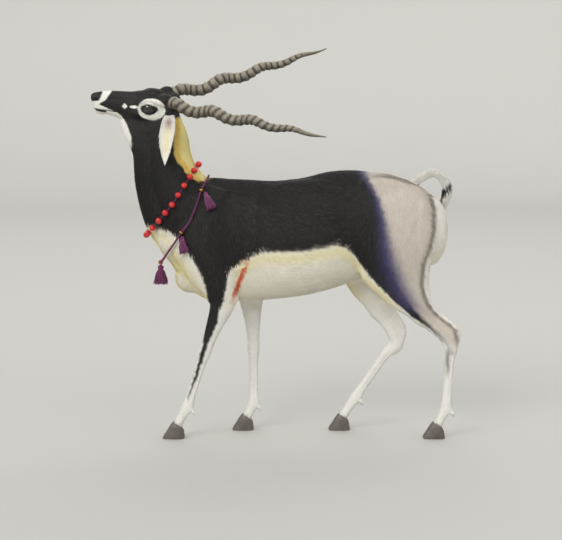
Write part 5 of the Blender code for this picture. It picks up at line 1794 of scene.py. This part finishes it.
@dataclass(frozen=True)
class Collar:
    """A twisted purple cord round the base of the neck, with brass rings and tassels."""

    radius: float = 0.0026
    front_radius: float = 0.0035
    clear_radius: float = 0.0030
    hang: float = 0.016
    ring_radius: float = 0.0056
    ring_wire: float = 0.0023
    tassel_length: float = 0.052
    pendant_length: float = 0.062
    steps: int = 48
    tassel_size: tuple[float, float] = (0.0160, 0.0075)
    pendant_size: tuple[float, float] = (0.023, 0.024)
    line: NeckLine = NeckLine((-0.262, 0, 0.672), (0.365, 0, 0.931), (-0.548, 0, -0.836))
    ring_turns: tuple[tuple[str, int], ...] = (("upper", 38), ("lower", 112))
    hangs: tuple[tuple[str, Spot], ...] = (("upper", (0.95, 0, -0.30)), ("lower", (0.25, 0, -0.97)))
    head_shape: Border = Border(
        (0, 0.03, 0.10, 0.17, 0.22, 0.27, 0.34), (0.10, 0.24, 0.42, 0.40, 0.27, 0.33, 0.40)
    )

    def route(self, tree: BVHTree) -> Rows:
        """The cord's line, raised where it carries a ring."""
        low, high = self.clear_radius + 0.0024, self.ring_radius + self.ring_wire + 0.0014
        turns = [s * t for _, t in self.ring_turns for s in (-1, 1)] + [180]
        lifts = []
        for i in range(self.steps):
            here = 360 * i / self.steps
            away = min(abs((here - turn + 180) % 360 - 180) for turn in turns)
            hang = self.hang * math.exp(-(((here - 180) / 34) ** 2))
            lifts.append(low + hang + (high - low) * math.exp(-((away / 11) ** 2)))
        return self.line.route(tree, lifts, self.clear_radius + 0.0012)

    def build(self, tree: BVHTree) -> None:
        """Builds, dresses and seats the cord, its rings and its tassels.

        Args:
            tree: The flesh's search tree.
        """
        line = self.route(tree)
        seat(dress(self.cord(line), PURPLE_FINISH), "cord", "collar_cord")
        hangs = dict(self.hangs)
        for level, turn in self.ring_turns:
            for side in Side:
                i = round(turn / 360 * self.steps) * -side.value % self.steps
                ahead = Vector(line[(i + 1) % self.steps] - line[i - 1])
                self.ring(f"brass_ring_{level}_{side.word}", line[i], ahead, f"ring_{level}_{side.word}")
                spine, outs = self.side_spine(tree, line[i], side, unit(np.array(hangs[level])))
                self.tassel(f"tassel_{level}_{side.word}", spine, outs, self.tassel_size, 71 + i)
        front = line[self.steps // 2]
        self.ring("brass_ring_pendant", front, Vector((0, 1, 0)), "ring_pendant")
        top = front - np.array((0, 0, self.ring_radius + self.ring_wire))
        spine = top - np.outer(np.linspace(0, self.pendant_length, 8), (0, 0, 1))
        self.tassel("pendant_tassel", spine, np.tile((-1.0, 0, 0), (8, 1)), self.pendant_size, 99)

    def cord(self, line: Rows) -> Piece:
        """Two plies twisted together, thicker over the breast."""
        per_step, twists = 20, 84
        dense = smooth_loop(even_loop(line, self.steps * per_step), 30)
        closed = np.vstack([dense, dense[:1]])
        across, over = closed_frames(closed)
        share = np.arange(len(closed)) / (len(closed) - 1)
        front = soft(np.abs(share - 0.5) * -1 + 0.235, 0.01)
        radius = self.radius + (self.front_radius - self.radius) * front
        turns = turns_round(7)
        plies = []
        for phase in (0, math.pi):
            twist = math.tau * twists * share + phase
            offset = across * np.cos(twist)[:, None] + over * np.sin(twist)[:, None]
            centres = closed + offset * (radius * 0.52)[:, None]
            thick = (radius * 0.60)[:, None]
            plies.append(swept("ply", section(centres, across * thick, over * thick, turns), filled=False))
        return joined("twisted_cord", plies)

    def ring(self, name: str, point: Rows, ahead: Vector, node: str) -> None:
        """A brass ring round the cord, with a seam bead where its ends meet."""
        wire = self.ring_wire * 0.92
        bpy.ops.mesh.primitive_torus_add(
            major_radius=self.ring_radius, minor_radius=wire, major_segments=48, minor_segments=18
        )
        hoop = bpy.context.object
        bead = round_ball(20, 14, self.ring_wire * 1.12)
        bead.data.transform(Matrix.Translation((0, -self.ring_radius, 0)))
        item = joined(name, [hoop, bead])
        place = ahead.to_track_quat("Z", "Y").to_matrix().to_4x4()
        place.translation = Vector(point)
        item.data.transform(place)
        seat(dress(item, BRASS_FINISH), "brass", node)

    def side_spine(self, tree: BVHTree, ring: Rows, side: Side, hang: Rows) -> tuple[Rows, Rows]:
        """The line that a side tassel hangs along, against the shoulder, and its ways out."""
        (half_width, half_depth), links = self.tassel_size, 8
        start = ring + hang * (self.ring_radius + self.ring_wire + 0.3 * half_width)
        drift = 0.10 + 0.35 * max(0.0, hang[0])
        spine, outs = [], []
        for i in range(links):
            drop = self.tassel_length * i / (links - 1)
            probe = Vector((start[0] + drift * drop, side.value * 0.5, start[2] - drop))
            point, normal = tree.ray_cast(probe, Vector((0, -side.value, 0)))[:2]
            out = Vector((0, side.value, 0)).lerp(normal, 0.5).normalized()
            rest = Vector((probe.x, point.y, probe.z)) + out * (half_depth + 0.0065)
            away = max(0.0, 1 - i / 3)
            spine.append(rest.lerp(Vector((probe.x, start[1], probe.z)), away))
            outs.append(out)
        return np.array(spine), np.array(outs)

    def tassel(self, name: str, spine: Rows, outs: Rows, size: tuple[float, float], seed: int) -> None:
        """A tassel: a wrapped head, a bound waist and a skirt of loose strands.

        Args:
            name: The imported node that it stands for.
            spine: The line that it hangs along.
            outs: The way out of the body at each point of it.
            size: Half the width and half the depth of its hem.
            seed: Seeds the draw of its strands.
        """
        width, depth = size
        dense = smooth_run(spine, 6)
        outs = smooth_run(outs, 6)
        ahead = unit(np.gradient(dense, axis=0))
        side = unit(np.cross(ahead, outs))
        over = np.cross(ahead, side)
        share = np.linspace(0, 1, len(dense))
        head = share <= self.head_shape.places[-1]
        swell = (self.head_shape.at(share) * (1 + 0.05 * np.sin(share * 260)))[head][:, None]
        fore, aside = side[head] * width * swell, over[head] * depth * swell
        knot = swept("knot", section(dense[head], fore, aside, turns_round(22)))
        pieces = [knot, self.skirt(dense, side, over, size, seed)]
        item = joined(f"{name}_threads", pieces)
        seat(dress(item, PURPLE_FINISH), "cord", name)

    def skirt(
        self, dense: Rows, side: Rows, over: Rows, size: tuple[float, float], seed: int
    ) -> Piece:
        """The loose strands below the waist, each a thin tapered closed tube.

        Args:
            dense: The line that the tassel hangs along.
            side: The way across at each point of it.
            over: The way out of the body at each.
            size: Half the width and half the depth of the hem.
            seed: Seeds the draw.

        Returns:
            The strands as one object.
        """
        width, depth = size
        share = np.linspace(0, 1, len(dense))
        draw = np.random.default_rng(seed)
        strands, rings, sides, golden = int(1500 * (width + depth) * 2.2), 7, 4, 0.381966
        turns = turns_round(sides)
        faces, points = [], []
        for k in range(strands):
            angle = math.tau * k * golden
            reach = math.sqrt((k + 0.5) / strands)
            end = 1.0 - 0.10 * draw.random()
            places = np.linspace(0.20, end, rings)
            flare = np.interp(places, (0.20, 0.32, 0.60, 1.0), (0.26, 0.50, 0.78, 0.98)) * reach
            flare = flare * (1 + 0.05 * np.sin(places * 14 + k))
            line, aside, above = (rows_at(places, share, rows) for rows in (dense, side, over))
            centre = line + aside * (width * math.cos(angle) * flare)[:, None]
            centre = centre + above * (depth * math.sin(angle) * flare)[:, None]
            thick = 0.00085 * np.interp(places, (0.2, 0.9, 1.0), (1.0, 1.0, 0.55))[:, None]
            tube = section(centre, aside * thick, above * thick, turns).reshape(-1, 3)
            start = k * rings * sides
            points.append(tube)
            for r in range(rings - 1):
                for s in range(sides):
                    one, two = start + r * sides + s, start + r * sides + (s + 1) % sides
                    faces.append((one, two, two + sides, one + sides))
            last = start + (rings - 1) * sides
            faces.append((start + 3, start + 2, start + 1, start))
            faces.append((last, last + 1, last + 2, last + 3))
        item = mesh_from("skirt", np.concatenate(points), np.array(faces))
        in_edit_mode(item, lambda: bpy.ops.mesh.normals_make_consistent(inside=False))
        return item


def on_muzzle(points: Rows) -> Rows:
    """Which points lie on the head ahead of the cheeks."""
    cheeks_end = 0.095
    return on_head(points) & (to_head(points)[:, 0] > cheeks_end)


def on_cheeks(points: Rows) -> Rows:
    """Which points lie on the head behind the muzzle."""
    return on_head(points) & ~on_muzzle(points)


def on_neck(points: Rows) -> Rows:
    """Which points lie on the neck, from the head to the shoulders."""
    return ~on_head(points) & ((points[:, 0] + 0.314) * -0.60 + (points[:, 2] - 0.729) * 0.80 > 0)


@dataclass(frozen=True)
class Stretch:
    """A stretch of one side of the trunk, or of the legs below it."""

    side: Side
    low: float
    high: float
    upper: bool

    def holds(self, points: Rows) -> Rows:
        """Which points lie on it.

        Args:
            points: Places on the skin.

        Returns:
            A flag for each place.
        """
        x, y, z = points.T
        on_side = y > 0 if self.side is Side.RIGHT else y <= 0
        level = z > LEGS_TOP if self.upper else z <= LEGS_TOP
        behind = ~on_head(points) & ~on_neck(points)
        return behind & on_side & level & (x > self.low) & (x <= self.high)


@dataclass(frozen=True)
class Region:
    """A stretch of the coat that is one piece, and how it is cut."""

    name: str
    slot: str
    cut: Cut
    test: Callable[[Rows], Rows]


@dataclass
class Coat:
    """Short fur all over the skin, in thin tufts that follow the lie of the hair."""

    face: Cut = Cut(0.00155, 0.0042, 0.00085, stand=0.13, segments=1, sink=0.0003)
    cheek: Cut = Cut(0.0020, 0.0068, 0.0012, stand=0.14, segments=1, sink=0.0004)
    neck: Cut = Cut(0.0029, 0.0135, 0.0020, stand=0.15)
    trunk: Cut = Cut(0.0031, 0.0140, 0.0022, stand=0.13)
    thigh: Cut = Cut(0.0029, 0.0120, 0.0020, stand=0.13)
    shank: Cut = Cut(0.0021, 0.0068, 0.0013, stand=0.12, segments=1, sink=0.0003)

    def regions(self) -> list[Region]:
        """Every stretch of the coat, none with more than 200,000 triangles.

        Returns:
            The stretches, from the muzzle to the right hind leg.
        """
        made = [
            Region("coat_muzzle", "coat_black", self.face, on_muzzle),
            Region("coat_head", "coat_black", self.cheek, on_cheeks),
            Region("coat_neck", "coat_black", self.neck, on_neck),
        ]
        stretches = (
            ("shoulder", "foreleg", "coat_black", self.trunk, -1.0, -0.06),
            ("flank", "mid", "coat_black", self.trunk, -0.06, 0.20),
            ("haunch", "hindleg", "coat_grey", self.thigh, 0.20, 1.0),
        )
        for side in Side:
            for above, below, slot, cut, low, high in stretches:
                top, foot = (Stretch(side, low, high, upper).holds for upper in (True, False))
                made.append(Region(f"coat_{above}_{side.word}", slot, cut, top))
                made.append(Region(f"coat_{below}_{side.word}", "coat_white", self.shank, foot))
        return made

    def bare(self, roots: Rows) -> Rows:
        """Which roots lie on bare skin: nose, lips' edge, eye openings, and under horns."""
        place = to_head(roots)
        x, _, z = place.T
        nose = (x > 0.2070) & (z > 0.0270)
        mouth = np.abs(z - MOUTH.at(x)) < 0.0012
        bare = nose | (mouth & (x > 0.15))
        for side in Side:
            turn = np.array(EYES.frame(side).inverted())
            local = roots @ turn[:3, :3].T + turn[:3, 3]
            lens = np.hypot(local[:, 0] / 0.0205, local[:, 1] / 0.0142)
            bare |= (lens < 1) & (local[:, 2] > 0) & (np.linalg.norm(local, axis=1) < 0.03)
            seat_of_horn = np.array((0.010, -side.value * 0.0280, 0.0530))
            bare |= np.linalg.norm(place - seat_of_horn, axis=1) < 0.0145
        return bare & on_head(roots)

    def grade(self, roots: Rows) -> Rows:
        """How long the tufts are beside their region's cut: they shorten towards the legs and the head."""
        down = np.interp(roots[:, 2], (0.30, 0.399, 0.40, 0.52), (1.0, 1.2, 0.60, 1.0))
        up = np.interp(past_joint(roots), (-0.09, -0.0001, 0.0, 0.03), (1.0, 0.55, 1.1, 1.0))
        return np.where(roots[:, 2] > HEAD_HEIGHT, up, down)

    def build(self, skin: Piece) -> None:
        """Builds, dresses and seats every stretch of fur.

        Args:
            skin: The skin that it grows on.
        """
        for number, region in enumerate(self.regions()):
            chosen = region.test(points_of(skin.data))
            if not chosen.any():
                continue
            roots, normals = sow(skin, region.cut.spacing, 101 + number, region.test)
            keep = ~self.bare(roots)
            roots, normals = roots[keep], normals[keep]
            tones = MARKINGS.coat(roots, normals)
            ways = LIE.along(roots, normals)
            draw = np.random.default_rng(201 + number)
            item = blades(region.name, roots, ways, normals, tones, region.cut, draw, self.grade(roots))
            seat(dress(item, TUFT_FINISH), region.slot)


@dataclass(frozen=True)
class Studio:
    """A pale round cove, soft lamps and the camera."""

    camera_far: float = 5.8
    camera_high: float = math.radians(6)
    frame_width: float = 1.737
    centre: Spot = (0.012, 0.0, 0.513)
    floor_tone: Tone = tone(186, 185, 181)

    def build(self) -> None:
        """Builds the cove, the lamps, the world and the camera."""
        self.cove()
        self.lamps()
        self.camera()

    def cove(self) -> None:
        """A flat floor whose far rim curves up into a wall, the same all round."""
        rows = [(0.0, 0.0), (2.0, 0.0), (5.0, 0.0), (8.0, 0.0), (10.0, 0.0)]
        bend = 3.0
        for step in range(1, 13):
            turn = math.radians(90) * step / 12
            rows.append((10.0 + bend * math.sin(turn), bend * (1 - math.cos(turn))))
        rows.append((13.0, 5.0))
        sides = 64
        turns = turns_round(sides)
        rings = [np.stack([r * np.cos(turns), r * np.sin(turns), np.full(sides, z)], 1) for r, z in rows]
        item = swept("studio_cove", np.array(rings), filled=False)
        in_edit_mode(item, lambda: bpy.ops.mesh.normals_make_consistent(inside=True))
        plain = {"grain": 3, "relief": 0.0, "variation": 0.02}
        dress(item, Finish("cove_paint", "coat_white", 0.85, base=self.floor_tone, **plain))

    def lamps(self) -> None:
        """A wide soft key from above the camera's left, a fill, and a lamp behind for the outline."""
        lamps = (
            ("key", (-2.4, -4.0, 3.2), 35, 1.5),
            ("fill", (3.2, -3.8, 1.6), 60, 0.9),
            ("back", (0.8, 3.6, 3.0), 50, 0.9),
        )
        for name, place, breadth, strength in lamps:
            light = bpy.data.lights.new(f"lamp_{name}", "SUN")
            light.energy = strength
            light.angle = math.radians(breadth)
            made = placed(f"lamp_{name}", light)
            made.location = place
            aim = Vector((0, 0, 0.6)) - Vector(place)
            made.rotation_euler = aim.to_track_quat("-Z", "Y").to_euler()
        world = bpy.data.worlds.new("soft_room")
        world.use_nodes = True
        world.node_tree.nodes["Background"].inputs["Color"].default_value = (1, 0.99, 0.97, 1)
        world.node_tree.nodes["Background"].inputs["Strength"].default_value = 0.92
        bpy.context.scene.world = world
        bpy.context.scene.view_settings.view_transform = "Standard"

    def camera(self) -> None:
        """A long lens at the height that the picture was drawn from."""
        sensor = 36.0
        target = Vector(self.centre) + PLACING[0].shift
        back = Vector((0, -math.cos(self.camera_high), math.sin(self.camera_high)))
        data = bpy.data.cameras.new("camera")
        data.sensor_width = sensor
        data.lens = sensor * self.camera_far / self.frame_width
        camera = placed("camera", data)
        camera.location = target + back * self.camera_far
        camera.rotation_euler = (-back).to_track_quat("-Z", "Y").to_euler()
        bpy.context.scene.camera = camera


def corners(box: tuple[Vector, Vector]) -> list[list[float]]:
    """A box's two corners as plain lists."""
    return [list(corner) for corner in box]


def main() -> None:
    """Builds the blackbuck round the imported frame."""
    logging.basicConfig(level=logging.INFO, format="%(message)s")
    FRAME.update(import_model())
    bpy.ops.object.select_all(action="DESELECT")
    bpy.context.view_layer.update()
    PLACING.append(Placing.from_eyes())
    Studio().build()
    skin_maker = Skin()
    skin = skin_maker.build()
    flesh = skin_maker.closed_flesh()
    tree = tree_of(flesh.data)
    bpy.data.objects.remove(flesh)
    EYES.build()
    Horns().build()
    Ears().build()
    Tail().build()
    Hooves().build()
    Beads().build(tree)
    Collar().build(tree)
    Coat().build(skin)
    seat(skin, "coat_black", *FLESH)


if __name__ == "__main__":
    main()
